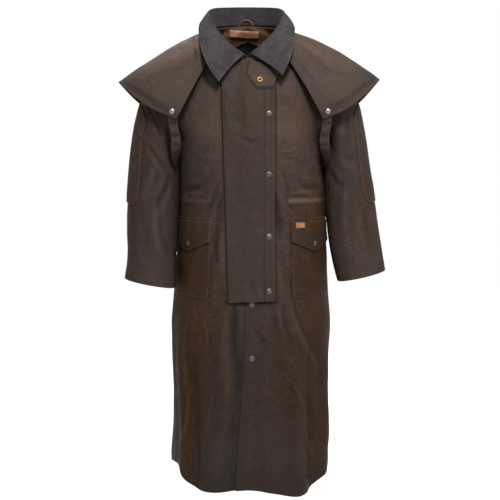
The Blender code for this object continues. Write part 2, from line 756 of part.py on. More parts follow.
def build_back():
    rows = LOWER_ROWS + UPPER_ROWS
    shares = [k / PANEL_COLUMNS for k in range(PANEL_COLUMNS + 1)]
    points, normals, kept, same = split_grid(0, rows, shares)
    trims = [("start", SEAM_GAP / 2), ("end", SEAM_GAP / 2), ("last", SEAM_GAP / 2)]
    wall("back", "oilskin", points, (0, 5, (0, 1, 0)), normals, kept=kept, same=same, trims=trims)


def build_facing():
    """The facing that shows inside the back neck, with its bare leather patch and the hang loop."""
    rows = [row for row in UPPER_ROWS if FACING_ROW <= row < 2]
    shares = [k / PANEL_COLUMNS for k in range(8)]
    points, normals, kept, same = split_grid(-LAYER, rows, shares)
    wall("neck_facing", "oilskin", points, (0, 2, (0, 1, 0)), normals, kept=kept, same=same)
    inner = [[p - n * CLOTH for p, n in zip(*pair)] for pair in zip(points, normals)]
    build_neck_label(inner)
    build_loop()


def build_neck_label(cloth):
    """The bare leather patch, sewn on the facing's inner face."""
    points = []
    for across in np.linspace(-0.5, 0.5, 9):
        x = LABEL_X + LABEL_WIDTH * across
        points.append([])
        for up in np.linspace(-0.5, 0.5, 3):
            z = LABEL_Z + LABEL_HEIGHT * up - LABEL_TILT * across
            near = min(facet_y(cloth, x + dx, z) for dx in (-LABEL_REACH, 0, LABEL_REACH))
            points[-1].append(Vector((x, near - LABEL_GAP, z)))
    wall("neck_label", "leather", points, (0, 0, (0, 1, 0)), thick=LABEL_CLOTH)


def build_loop():
    path = []
    for k in range(11):
        a = math.pi * k / 10
        x = LOOP_X - LOOP_HALF_WIDTH * math.cos(a)
        z = LOOP_Z + LOOP_HEIGHT * math.sin(a)
        path.append(Vector((x, LOOP_Y + 0.3 * (z - LOOP_Z), z)))
    tube("hang_loop", "oilskin", path, LOOP_RADIUS)


def build_storm_flap(fronts):
    """The flap over the closure: sewn to the right front, snapped to the left one."""
    levels = [p[2].z for p in fronts["right"] if FLAP_LOW_Z + 0.01 < p[2].z < FLAP_TOP_Z - 0.01]
    points = []
    for z in [FLAP_LOW_Z] + levels + [FLAP_TOP_Z]:
        share = (z - FLAP_LOW_Z) / (FLAP_TOP_Z - FLAP_LOW_Z)
        seam_x = FLAP_SEAM_LOW_X + (FLAP_SEAM_TOP_X - FLAP_SEAM_LOW_X) * share
        spots = [seam_x + (FLAP_FREE_X - seam_x) * k / FLAP_COLUMNS for k in range(FLAP_COLUMNS + 1)]
        points.append([over_fronts(fronts, x, z, LAYER) for x in spots])
    wall("storm_flap", "oilskin", points, (0, 0, (0, -1, 0)))
    for k, z in enumerate(FLAP_SNAP_Z):
        snap(f"flap_snap_{k + 1}", *over_facets(points, FLAP_SNAP_X, z))


def over_facets(points, x, z):
    """Where a snap sits in front of a panel's facets at an X and a Z, and which way it faces."""
    reach = SNAP_RADIUS
    across = facet_y(points, x + reach, z) - facet_y(points, x - reach, z)
    up = facet_y(points, x, z + reach) - facet_y(points, x, z - reach)
    normal = Vector((across, -2 * reach, up)).normalized()
    return Vector((x, facet_y(points, x, z), z)) + normal * SNAP_GAP, normal


def build_front_snaps(fronts):
    """The snaps of the closure that show below the storm flap."""
    for k, z in enumerate(FRONT_SNAP_Z):
        snap(f"front_snap_{k + 1}", *over_facets(fronts["left"], FRONT_SNAP_X, z))


def build_tab(fronts):
    """The throat tab under the left collar wing, and its brass socket."""
    points = []
    for k in range(7):
        left_x, left_z, right_x, right_z = straight_along(TAB, k / 6)
        shares = [m / 6 for m in range(7)]
        spots = [(left_x + (right_x - left_x) * m, left_z + (right_z - left_z) * m) for m in shares]
        points.append([over_fronts(fronts, x, z, TAB_HEIGHT) for x, z in spots])
    wall("throat_tab", "oilskin", points, (0, 0, (0, -1, 0)))
    radius, height = SNAP_RADIUS, SNAP_HEIGHT * 0.6
    profile = [(radius, 0), (radius * 0.9, height), (radius * 0.5, height * 0.8)]
    turned("throat_socket", "brass", *over_facets(points[::-1], SOCKET_X, SOCKET_Z), profile)


def straight_along(table, t):
    """All columns of a table with evenly spaced rows, at t from 0 to 1, in straight runs."""
    rows = table[1:]
    k = min(int(t * (len(rows) - 1)), len(rows) - 2)
    local = t * (len(rows) - 1) - k
    return [a + (b - a) * local for a, b in zip(rows[k], rows[k + 1])]


# Pockets


def build_pocket(name, side):
    """A patch pocket, its pointed flap and the flap's snap, on the same columns as the front."""
    columns = list(range(POCKET_FIRST_COLUMN, POCKET_LAST_COLUMN + 1))
    width = POCKET_LAST_COLUMN - POCKET_FIRST_COLUMN
    middle = (POCKET_FIRST_COLUMN + POCKET_LAST_COLUMN) / 2

    def sheet(height, top_z, low_z_of):
        """Rows at the lower edge, at each row of the front between, and at the top edge."""
        points = [[], []]
        for k in columns:
            s = side * k / PANEL_COLUMNS
            points[0].append(on_column(s, low_z_of(k), height))
            points[1].append(on_column(s, top_z, height))
        lowest = max(low_z_of(k) for k in columns) + ROW_CLEAR
        for row in reversed(LOWER_ROWS):
            if lowest < body_point(-1, row, side * middle / PANEL_COLUMNS).z < top_z - ROW_CLEAR:
                points.insert(1, [on_body(-1, row, side * k / PANEL_COLUMNS, height) for k in columns])
        return points

    def pocket_low(k):
        across = (k - POCKET_FIRST_COLUMN) / width
        return POCKET_LOW_FRONT_Z + (POCKET_LOW_BACK_Z - POCKET_LOW_FRONT_Z) * across

    def flap_low(k):
        rise = (POCKET_FLAP_SIDE_Z - POCKET_FLAP_POINT_Z) * abs(k - middle) / (width / 2)
        return POCKET_FLAP_POINT_Z + rise

    outward = (0, 0, (side * 0.5, -1, 0))
    wall(f"pocket_{name}", "oilskin", sheet(LAYER, POCKET_TOP_Z, pocket_low), outward)
    wall(f"pocket_flap_{name}", "oilskin", sheet(2 * LAYER, POCKET_FLAP_TOP_Z, flap_low), outward)
    s = side * middle / PANEL_COLUMNS
    place = on_column(s, POCKET_SNAP_Z, 2 * LAYER + SNAP_GAP)
    normal = place - on_column(s, POCKET_SNAP_Z, LAYER)
    snap(f"pocket_snap_{name}", place, normal)


def on_column(s, z, height):
    """A point over a front's facets where one of its columns passes through a height."""
    k = max(i for i, row in enumerate(LOWER_ROWS) if body_point(-1, row, s).z <= z)
    low, high = LOWER_ROWS[k], (LOWER_ROWS + [1.0])[k + 1]
    a, b = on_body(-1, low, s, height), on_body(-1, high, s, height)
    base_a, base_b = body_point(-1, low, s).z, body_point(-1, high, s).z
    return a.lerp(b, (z - base_a) / (base_b - base_a))


def build_flap_label():
    """The bare leather patch at the top corner of the left pocket's flap."""
    shares = [FLAP_LABEL_S, 6 / PANEL_COLUMNS, 7 / PANEL_COLUMNS]
    points = []
    for m in range(3):
        z = FLAP_LABEL_Z - FLAP_LABEL_HEIGHT * m / 2
        points.append([on_column(s, z, 2 * LAYER + LAY_GAP + LABEL_CLOTH) for s in shares])
    wall("flap_label", "leather", points, (0, 0, (0, -1, 0)), thick=LABEL_CLOTH)


# Sleeves


def sleeve_point(table, folds, side, t, angle, height=0.0):
    """A point of a sleeve: t 0 armhole, 1 cuff; the angle is 0 outside, 90 in front, 180 inside."""
    inner_x, inner_z, outer_x, outer_z, mid_y, half_depth = along(table, t)
    a = math.radians(angle)
    middle = Vector(((inner_x + outer_x) / 2, mid_y, (inner_z + outer_z) / 2))
    reach = Vector(((outer_x - inner_x) / 2, 0, (outer_z - inner_z) / 2))
    depth = Vector((0, -half_depth, 0))
    offset = reach * math.cos(a) + depth * math.sin(a)
    across = (angle + 180) % 360 - 180
    fold = fold_height(folds, across, t, reach.length, ARM_LENGTH) * ease(t / 0.2)
    point = middle + offset + offset.normalized() * (fold + height)
    return Vector((side * point.x, point.y, point.z))


def sleeve_normal(table, folds, side, t, angle):
    if t == 0:
        a = math.radians(angle)
        return Vector((side * 0.6, -math.sin(a), math.cos(a))).normalized()
    step = 0.004
    down = sleeve_point(table, folds, side, min(t + step, 1), angle)
    down -= sleeve_point(table, folds, side, t - step, angle)
    around = sleeve_point(table, folds, side, t, angle + 1) - sleeve_point(table, folds, side, t, angle - 1)
    return (down.cross(around) * side).normalized()


def build_sleeve(name, side, table, folds):
    angles = [360 * k / ARM_COLUMNS for k in range(ARM_COLUMNS)]
    points, normals = [], []
    for i in range(ARM_ROWS + 1):
        t = i / ARM_ROWS
        points.append([sleeve_point(table, folds, side, t, a) for a in angles])
        normals.append([sleeve_normal(table, folds, side, t, a) for a in angles])
    outward = (ARM_ROWS, 0, (side, 0, 0.2))
    wall(f"sleeve_{name}", "oilskin", points, outward, normals, wrap=True, trims=[("first", SEAM_GAP)])
    build_elbow_patch(name, side, table, folds)


def build_elbow_patch(name, side, table, folds):
    """A patch with cut corners over the elbow, on the same rings and columns as the sleeve."""
    count = int((PATCH_FRONT_ANGLE - PATCH_BACK_ANGLE) / (360 / ARM_COLUMNS))
    points = []
    rows = [PATCH_FIRST_RING + k for k in range(PATCH_LAST_RING - PATCH_FIRST_RING + 1)]
    for i in rows:
        t = i / ARM_ROWS
        cut = PATCH_CUT if i in (rows[0], rows[-1]) else 0
        points.append([])
        for k in range(count + 1):
            angle = PATCH_FRONT_ANGLE + (PATCH_BACK_ANGLE - PATCH_FRONT_ANGLE) * k / count
            angle = max(PATCH_BACK_ANGLE + cut, min(PATCH_FRONT_ANGLE - cut, angle))
            spread = 0.01 * (k - count / 2) / count if cut else 0
            point = sleeve_point(table, folds, side, t, angle + spread)
            points[-1].append(point + sleeve_normal(table, folds, side, t, angle + spread) * PATCH_HEIGHT)
    wall(f"elbow_patch_{name}", "oilskin", points, (0, count // 2, (side, 0, 0.3)))


# Cape, its straps and the collar


def cape_place(side, t, u):
    """A point of the cape: t is 0 at its front edge and 1 at the centre back; u 0 neck, 1 hem."""
    neck_row, neck_s, bow_x, bow_y, bow_z, hem_x, hem_y, hem_z = along(CAPE, t)
    face = -1 if t < CAPE_SHOULDER_T else 1
    neck = on_body(face, min(neck_row, 2), side * max(neck_s, 1e-6), CAPE_NECK_HEIGHT)
    bow = Vector((side * bow_x, bow_y, bow_z))
    hem = Vector((side * hem_x, hem_y, hem_z))
    if side < 0:
        near_shoulder = math.exp(-((t - CAPE_SHOULDER_T) / 0.2) ** 2)
        bow.z -= CAPE_RIGHT_DROP * near_shoulder
        hem += Vector((-CAPE_RIGHT_SPREAD, 0, -CAPE_RIGHT_DROP)) * near_shoulder
    return neck * (1 - u) ** 2 + bow * 2 * u * (1 - u) + hem * u * u


def build_cape():
    half = [k / CAPE_COLUMNS for k in range(CAPE_COLUMNS + 1)]
    places = [(-1, t) for t in half] + [(1, t) for t in reversed(half[:-1])]
    points = [[cape_place(side, t, i / CAPE_ROWS) for side, t in places] for i in range(CAPE_ROWS + 1)]
    wall("cape", "oilskin", points, (CAPE_ROWS, 0, (0, -1, 0.3)))
    for name, side in (("right", -1), ("left", 1)):
        place, normal = cape_at(side, CAPE_SNAP_T, CAPE_SNAP_U)
        snap(f"cape_snap_{name}", place + normal * SNAP_GAP, normal, SNAP_RADIUS * 0.85)
        build_strap(name, side)


def cape_at(side, t, u):
    """A point of the cape and its outward normal."""
    across = cape_place(side, t + 0.01, u) - cape_place(side, t - 0.01, u)
    down = cape_place(side, t, u + 0.01) - cape_place(side, t, u - 0.01)
    normal = down.cross(across).normalized() * side
    return cape_place(side, t, u), normal


def under_cape(side, t, u):
    """A point just behind the cape, where a strap's face lies on it, and the cape's line across."""
    place, normal = cape_at(side, t, u)
    across = cape_place(side, t + 0.01, u) - cape_place(side, t - 0.01, u)
    return place - normal * (CLOTH + STRAP_SEAT), across.normalized()


def build_strap(name, side):
    """The strap that holds the cape down: from its front corner, under the arm, to its back."""
    ends = {
        0: under_cape(side, CAPE_SNAP_T, CAPE_SNAP_U),
        STRAP_ROWS: under_cape(side, STRAP_BACK_T, STRAP_BACK_U),
    }
    points = []
    for k in range(STRAP_ROWS + 1):
        beyond, y, z, across_x, across_z = along(STRAP, k / STRAP_ROWS)
        middle = Vector((side * (read(TORSO, name, z) + beyond), y, z))
        across = Vector((side * across_x, 0, across_z)).normalized()
        for end, (place, line) in ends.items():
            near = 1 - ease(abs(k - end) / STRAP_BLEND)
            _, end_y, end_z, _, _ = along(STRAP, end / STRAP_ROWS)
            start = Vector((side * (read(TORSO, name, end_z) + STRAP[1][0]), end_y, end_z))
            middle += (place - start) * near
            across = across.lerp(line if line.x * side > 0 else -line, near).normalized()
        points.append([middle + across * STRAP_WIDTH * share for share in (-0.5, 0, 0.5)])
    wall(f"cape_strap_{name}", "oilskin", points, (0, 1, (0, -1, 0)))


def collar_section(turn):
    """The collar's shown side at a place round the neck: up the stand, over the roll, down the fall."""
    side = 1 if turn > 0 else -1
    a = abs(turn)
    base = neckline(side, (180 - a) / 90, -1) if a > 90 else neckline(side, a / 90, 1)
    roll = Vector([read(COLLAR, name, turn) for name in ("roll_x", "roll_y", "roll_z")])
    edge = Vector([read(COLLAR, name, turn) for name in ("edge_x", "edge_y", "edge_z")])
    out = edge - base
    out = Vector((out.x, out.y, 0)).normalized()
    base += Vector((0, 0, COLLAR_LIFT)) - out * 0.001
    over = []
    for degrees in (180, 120, 60, 0):
        b = math.radians(degrees)
        over.append(roll + (out * math.cos(b) + Vector((0, 0, 1)) * math.sin(b)) * ROLL_RADIUS)
    bow = (over[-1] + edge) / 2 + (out + Vector((0, 0, 1))) * COLLAR_BOW
    return [base, base * 0.5 + over[0] * 0.5] + over + [bow, edge]


def build_collar():
    turns = [-180 + 360 * k / COLLAR_COLUMNS for k in range(COLLAR_COLUMNS + 1)]
    sections = [collar_section(turn) for turn in turns]
    points = [[section[i] for section in sections] for i in range(len(sections[0]))]
    last = len(points) - 1
    wall("collar", "collar_cloth", points, (last, COLLAR_COLUMNS // 2, (0, 1, 0)), thick=COLLAR_CLOTH)


clear_scene()
build_back()
build_facing()
fronts = {"right": build_front("front_right", -1), "left": build_front("front_left", 1)}
build_storm_flap(fronts)
build_front_snaps(fronts)
build_tab(fronts)
for name, side in (("right", -1), ("left", 1)):
    build_pocket(name, side)
build_flap_label()
build_sleeve("right", -1, RIGHT_ARM, RIGHT_ARM_FOLDS)
build_sleeve("left", 1, LEFT_ARM, LEFT_ARM_FOLDS)
build_cape()
build_collar()
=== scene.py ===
"""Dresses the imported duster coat: fine cloth on the solids' own form, sewing, snaps and materials.

Metres, in the frame of the solids. The cloth pieces are worked out again from the same sections as the
solids, on finer grids, and their creases, gathers and stitches are added here.
"""

import math

import bpy
import numpy as np
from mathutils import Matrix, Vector, noise
from mathutils.bvhtree import BVHTree


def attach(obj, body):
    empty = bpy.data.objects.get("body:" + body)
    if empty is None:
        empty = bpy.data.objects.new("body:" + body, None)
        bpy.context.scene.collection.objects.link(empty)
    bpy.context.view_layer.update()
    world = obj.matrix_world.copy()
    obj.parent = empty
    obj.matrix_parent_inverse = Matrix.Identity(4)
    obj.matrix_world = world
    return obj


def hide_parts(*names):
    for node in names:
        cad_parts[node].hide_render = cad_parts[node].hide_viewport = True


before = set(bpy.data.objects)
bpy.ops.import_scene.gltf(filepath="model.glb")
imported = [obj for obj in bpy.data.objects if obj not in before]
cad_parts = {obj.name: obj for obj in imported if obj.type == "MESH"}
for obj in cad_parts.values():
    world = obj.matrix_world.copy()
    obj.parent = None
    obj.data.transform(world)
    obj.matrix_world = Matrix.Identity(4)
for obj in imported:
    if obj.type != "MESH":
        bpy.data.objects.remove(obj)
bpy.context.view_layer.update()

# Sizes of the solids
CLOTH = 0.0018
COLLAR_CLOTH = 0.0022
LAY_GAP = 0.0007
LAYER = CLOTH + LAY_GAP
NECK_X = -0.008
ARMPIT_Z = -0.315
SHOULDER_X = 0.213
SHOULDER_Z = -0.076
ARMHOLE_HALF_DEPTH = 0.088
SQUARENESS = 2.15
SNAP_RADIUS = 0.0076
STRAP_WIDTH = 0.025

# Torso sections: height, half width on the wearer's right and left, and depth in front of the side
# line and behind it
TORSO = [
    ("z", "right", "left", "front", "back"),
    (-1.290, 0.2150, 0.2185, 0.168, 0.160),
    (-1.190, 0.2180, 0.2185, 0.164, 0.157),
    (-1.120, 0.2135, 0.2215, 0.161, 0.155),
    (-1.000, 0.2155, 0.2165, 0.157, 0.150),
    (-0.920, 0.2180, 0.2190, 0.154, 0.146),
    (-0.830, 0.2185, 0.2240, 0.152, 0.142),
    (-0.745, 0.2120, 0.2185, 0.149, 0.134),
    (-0.610, 0.2030, 0.2125, 0.145, 0.124),
    (-0.520, 0.1985, 0.2095, 0.139, 0.118),
    (-0.430, 0.1968, 0.2040, 0.142, 0.123),
    (ARMPIT_Z, 0.1965, 0.1965, 0.143, 0.129),
]

# Side seam: it runs down the side and comes forward below the hip
SIDE_SEAM = [("z", "angle"), (-1.26, 62.0), (-1.05, 72.0), (-0.86, 86.0), (-0.76, 90.0), (ARMPIT_Z, 90.0)]

# Hem height round the coat: 0 degrees is the front, positive angles go to the wearer's left
HEM = [
    ("angle", "z"),
    (-180.0, -1.238),
    (-120.0, -1.226),
    (-90.0, -1.212),
    (-64.0, -1.206),
    (-52.0, -1.232),
    (-36.0, -1.260),
    (-20.0, -1.261),
    (-2.0, -1.252),
    (16.0, -1.264),
    (34.0, -1.275),
    (48.0, -1.268),
    (64.0, -1.236),
    (90.0, -1.210),
    (130.0, -1.224),
    (180.0, -1.238),
]

# Centre lines above the armpit: the chest leans back to the front neck, the back rounds to the neck
CHEST_LINE = [
    ("z", "y"), (ARMPIT_Z, -0.143), (-0.25, -0.140), (-0.19, -0.131), (-0.14, -0.115), (-0.099, -0.097)
]
BACK_LINE = [("z", "y"), (ARMPIT_Z, 0.129), (-0.22, 0.134), (-0.13, 0.129), (-0.06, 0.109), (0.003, 0.078)]
FRONT_NECK = Vector((NECK_X, -0.097, -0.099))
SIDE_NECK = Vector((0.087, 0.006, -0.010))
BACK_NECK = Vector((NECK_X, 0.078, 0.003))

# Rows up the body: 0 is the hem, 1 the armpit, 2 the shoulder seam
FRONT_NECK_ROW = 1.66
BACK_NECK_ROW = 1.80
FACING_ROW = 1.695
PANEL_COLUMNS = 15
BODY_RADIUS = 0.18
SKIRT_LENGTH = 0.93

# Largest folds of the body: a line from its top to its low end, its half width and its depth outwards
BODY_FOLDS = [
    ("top_angle", "top_z", "low_angle", "low_z", "half_width", "depth"),
    (19.0, -0.44, 25.0, -0.53, 0.013, 0.005),
    (30.0, -0.34, 58.0, -0.48, 0.020, 0.005),
    (-24.0, -0.55, -26.0, -0.76, 0.015, 0.005),
    (-34.0, -0.80, -27.0, -1.26, 0.038, 0.011),
    (-56.0, -0.80, -50.0, -1.24, 0.026, 0.011),
    (-44.0, -0.84, -40.0, -1.24, 0.020, -0.007),
    (-13.0, -0.79, -15.0, -1.26, 0.020, -0.010),
    (19.0, -0.78, 33.0, -1.00, 0.022, 0.009),
    (36.0, -0.84, 30.0, -1.27, 0.032, 0.010),
    (50.0, -0.80, 52.0, -1.26, 0.022, -0.011),
    (70.0, -0.90, 66.0, -1.22, 0.026, 0.008),
    (-150.0, -0.58, -146.0, -1.24, 0.036, 0.014),
    (-122.0, -0.70, -116.0, -1.22, 0.030, 0.011),
    (180.0, -0.50, 179.0, -1.24, 0.026, -0.014),
    (152.0, -0.60, 148.0, -1.24, 0.036, 0.014),
    (124.0, -0.74, 120.0, -1.22, 0.030, 0.011),
    (168.0, -0.34, 146.0, -0.52, 0.026, 0.007),
    (-168.0, -0.34, -146.0, -0.52, 0.026, 0.007),
]

# Sleeve sections from armhole to cuff, seen from the front: the end near the body, the outer end,
# how far forward the middle lies and the half depth. The first row of each is the armhole.
RIGHT_ARM = [
    ("inner_x", "inner_z", "outer_x", "outer_z", "mid_y", "half_depth"),
    (0.1965, -0.315, SHOULDER_X, SHOULDER_Z, 0.000, ARMHOLE_HALF_DEPTH),
    (0.2050, -0.319, 0.250, -0.108, 0.000, 0.0890),
    (0.2080, -0.330, 0.284, -0.156, -0.002, 0.0880),
    (0.2060, -0.350, 0.307, -0.222, -0.004, 0.0850),
    (0.2020, -0.396, 0.324, -0.300, -0.008, 0.0800),
    (0.1995, -0.458, 0.334, -0.396, -0.014, 0.0760),
    (0.2022, -0.528, 0.3400, -0.494, -0.026, 0.0720),
    (0.2050, -0.598, 0.3400, -0.570, -0.044, 0.0680),
    (0.2030, -0.664, 0.3365, -0.641, -0.064, 0.0640),
    (0.2020, -0.724, 0.3420, -0.698, -0.084, 0.0610),
]
LEFT_ARM = [
    ("inner_x", "inner_z", "outer_x", "outer_z", "mid_y", "half_depth"),
    (0.1965, -0.315, SHOULDER_X, SHOULDER_Z, 0.000, ARMHOLE_HALF_DEPTH),
    (0.2050, -0.319, 0.250, -0.108, 0.000, 0.0890),
    (0.2100, -0.330, 0.281, -0.156, -0.002, 0.0880),
    (0.2090, -0.350, 0.302, -0.222, -0.004, 0.0850),
    (0.2075, -0.394, 0.318, -0.300, -0.006, 0.0800),
    (0.2085, -0.454, 0.332, -0.396, -0.010, 0.0760),
    (0.2112, -0.522, 0.3470, -0.490, -0.018, 0.0710),
    (0.2165, -0.590, 0.3560, -0.562, -0.032, 0.0670),
    (0.2260, -0.652, 0.3630, -0.623, -0.050, 0.0630),
    (0.2390, -0.708, 0.3710, -0.677, -0.068, 0.0600),
]
ARM_LENGTH = 0.65

# Folds of the sleeves: place down the sleeve from 0 to 1, angle round it (0 outer, 90 front, 180 inner)
RIGHT_ARM_FOLDS = [
    ("top_t", "top_angle", "low_t", "low_angle", "half_width", "depth"),
    (0.34, 60.0, 0.62, 96.0, 0.017, 0.005),
    (0.28, 122.0, 0.42, 108.0, 0.014, -0.005),
    (0.56, 170.0, 0.70, 118.0, 0.014, -0.006),
    (0.66, 160.0, 0.98, 132.0, 0.018, 0.005),
    (0.52, -100.0, 0.60, -150.0, 0.016, -0.005),
]
LEFT_ARM_FOLDS = [
    ("top_t", "top_angle", "low_t", "low_angle", "half_width", "depth"),
    (0.30, 118.0, 0.60, 128.0, 0.017, 0.004),
    (0.30, 84.0, 0.56, 92.0, 0.018, -0.003),
    (0.62, 112.0, 0.98, 100.0, 0.022, 0.004),
    (0.52, -100.0, 0.60, -150.0, 0.016, -0.005),
]

# Elbow patch: its first and last ring on the sleeve, its two edges and how far its corners are cut
PATCH_FIRST_RING = 5
PATCH_LAST_RING = 10
PATCH_FRONT_ANGLE = 60.0
PATCH_BACK_ANGLE = -105.0
PATCH_CUT = 20.0
PATCH_HEIGHT = LAYER + 0.0008

# Shoulder cape, half of it from its front edge to the centre back: where it leaves the neck, a point
# that bows it outwards, and its hem
CAPE_S = 1 / PANEL_COLUMNS
CAPE = [
    ("neck_row", "neck_s", "bow_x", "bow_y", "bow_z", "hem_x", "hem_y", "hem_z"),
    (1.85, CAPE_S, 0.135, -0.135, -0.140, 0.1975, -0.1250, -0.2660),
    (1.90, CAPE_S, 0.168, -0.132, -0.108, 0.2600, -0.1180, -0.2400),
    (1.95, CAPE_S, 0.192, -0.100, -0.046, 0.3200, -0.0800, -0.1950),
    (2.00, CAPE_S, 0.200, 0.004, -0.010, 0.3640, 0.0080, -0.1520),
    (1.96, CAPE_S, 0.192, 0.098, -0.040, 0.3240, 0.0900, -0.2040),
    (1.92, CAPE_S, 0.150, 0.140, -0.078, 0.2500, 0.1420, -0.2720),
    (1.86, CAPE_S, 0.085, 0.162, -0.070, 0.1350, 0.1640, -0.3150),
    (1.78, 0.00, 0.000, 0.170, -0.060, 0.0000, 0.1700, -0.3300),
]
CAPE_SHOULDER_T = 3 / 7
CAPE_RIGHT_DROP = 0.007
CAPE_RIGHT_SPREAD = 0.005
CAPE_NECK_HEIGHT = LAYER + 0.0002
CAPE_SNAP_T = 0.045
CAPE_SNAP_U = 0.95

# Strap of the cape, from its front corner under the arm to its back: how far it lies beyond the body's
# side, and which way its width lies. It turns edge on to pass between the body and the sleeve.
STRAP = [
    ("beyond", "y", "z", "across_x", "across_z"),
    (0.0095, -0.1150, -0.252, 1.0, 0.00),
    (0.0095, -0.1040, -0.310, 1.0, 0.00),
    (0.0080, -0.0930, -0.350, 1.0, -0.30),
    (0.0030, -0.0560, -0.376, 0.5, -0.85),
    (0.0012, 0.0000, -0.386, 0.0, -1.00),
    (0.0030, 0.0560, -0.376, 0.5, -0.85),
    (0.0080, 0.0960, -0.345, 1.0, -0.30),
    (0.0095, 0.1130, -0.305, 1.0, 0.00),
    (0.0095, 0.1250, -0.262, 1.0, 0.00),
]
STRAP_LENGTH = 0.345
STRAP_ROWS = 20
STRAP_BLEND = 6
STRAP_SEAT = 0.0010
STRAP_BACK_T = 0.80
STRAP_BACK_U = 0.90

# Creases across the strap: the distance down it in millimetres, the depth and the slant
STRAP_CREASES = [
    (22, -1.0, 2), (34, 0.7, -2), (47, -0.9, 3), (58, 0.6, 1), (72, -1.0, -3), (96, -0.8, 2), (130, -0.8, 2),
    (210, -0.9, -2), (262, -0.9, 2), (300, -0.7, -3),
]

# Collar, from the wearer's right front end round the back to the left front end: the roll line at
# its top and its outer edge
COLLAR = [
    ("round", "roll_x", "roll_y", "roll_z", "edge_x", "edge_y", "edge_z"),
    (-180.0, -0.0160, -0.1060, -0.0930, -0.0830, -0.1400, -0.1660),
    (-138.0, -0.0560, -0.0960, -0.0640, -0.1130, -0.1400, -0.1210),
    (-105.0, -0.0960, -0.0560, -0.0140, -0.1370, -0.0840, -0.0620),
    (-80.0, -0.1170, -0.0020, 0.0300, -0.1440, -0.0020, -0.0080),
    (-45.0, -0.0980, 0.0610, 0.0510, -0.1230, 0.0860, -0.0060),
    (0.0, -0.0100, 0.0930, 0.0570, -0.0100, 0.1250, -0.0080),
    (45.0, 0.0760, 0.0610, 0.0510, 0.1050, 0.0860, -0.0060),
    (80.0, 0.0950, -0.0020, 0.0300, 0.1260, -0.0020, -0.0080),
    (105.0, 0.0760, -0.0540, -0.0140, 0.1220, -0.0840, -0.0560),
    (138.0, 0.0380, -0.0960, -0.0600, 0.1060, -0.1340, -0.1060),
    (180.0, 0.0030, -0.1060, -0.0910, 0.0870, -0.1380, -0.1490),
]
COLLAR_LENGTH = 0.62
COLLAR_FALL = 0.075
ROLL_RADIUS = 0.0042
COLLAR_LIFT = 0.0040
COLLAR_BOW = 0.003

# Storm flap over the front closure: its sewn edge slants, its free edge is upright
FLAP_SEAM_TOP_X = -0.079
FLAP_SEAM_LOW_X = -0.059
FLAP_FREE_X = 0.066
FLAP_TOP_Z = -0.114
FLAP_LOW_Z = -0.752
FLAP_SNAP_Z = [-0.252, -0.415, -0.582, -0.727]
FLAP_SNAP_X = 0.0515
FLAP_LOW_ROW = 0.53
FLAP_WIDTH = 0.135
FLAP_INNER_STITCH = 0.027

# Front closure below the flap: the left front lies over the right one
UNDERLAP_X = 0.030
OVERLAP_TOP_X = -0.011
OVERLAP_LOW_X = -0.035
LIFT_RUN = 0.030
HEM_LIFT = 0.007
FRONT_SNAP_Z = [-0.762, -0.906]
FRONT_SNAP_X = 0.0050

# Patch pockets and their pointed flaps, on both fronts
POCKET_FIRST_COLUMN = 5
POCKET_LAST_COLUMN = 13
POCKET_TOP_Z = -0.534
POCKET_LOW_FRONT_Z = -0.752
POCKET_LOW_BACK_Z = -0.738
POCKET_FLAP_TOP_Z = -0.5425
POCKET_FLAP_SIDE_Z = -0.597
POCKET_FLAP_POINT_Z = -0.626
POCKET_SNAP_Z = -0.604

# Throat tab under the left collar wing: its left and right edges, from the top down
TAB = [
    ("left_x", "left_z", "right_x", "right_z"),
    (0.0040, -0.1100, 0.0820, -0.1180),
    (-0.0055, -0.1430, 0.0740, -0.1500),
    (0.0180, -0.1785, 0.0610, -0.1770),
]
TAB_HEIGHT = 0.0056
SOCKET_X = 0.0268
SOCKET_Z = -0.1600

# Hang loop and bare leather patches
LOOP_HALF_WIDTH = 0.019
LOOP_HEIGHT = 0.017
LOOP_RADIUS = 0.0020
LOOP_X = -0.0115
LOOP_Y = 0.0715
LOOP_Z = 0.0045
LABEL_WIDTH = 0.084
LABEL_HEIGHT = 0.020
LABEL_X = -0.0170
LABEL_Z = -0.0195
LABEL_TILT = 0.004
LABEL_CLOTH = 0.0012
FLAP_LABEL_S = 0.373
FLAP_LABEL_Z = -0.5460
FLAP_LABEL_HEIGHT = 0.015

# Fineness of the cloth grids: the distance between points, and the offsets of the points along an
# edge that is folded under and sewn
CELL = 0.0042
SEWN_EDGE = [0.0, 0.0008, 0.0022, 0.0042, 0.0054, 0.0064, 0.0074, 0.0094]
STITCH_OFFSET = 0.0064
GROOVE_WIDTH = 0.0013
GROOVE_DEPTH = 0.0005
EDGE_REACH = 0.05
EDGE_WIDTH = 0.0014
EDGE_DROP = 0.0007
STITCH_PITCH = 0.0036
STITCH_RADIUS = 0.00036

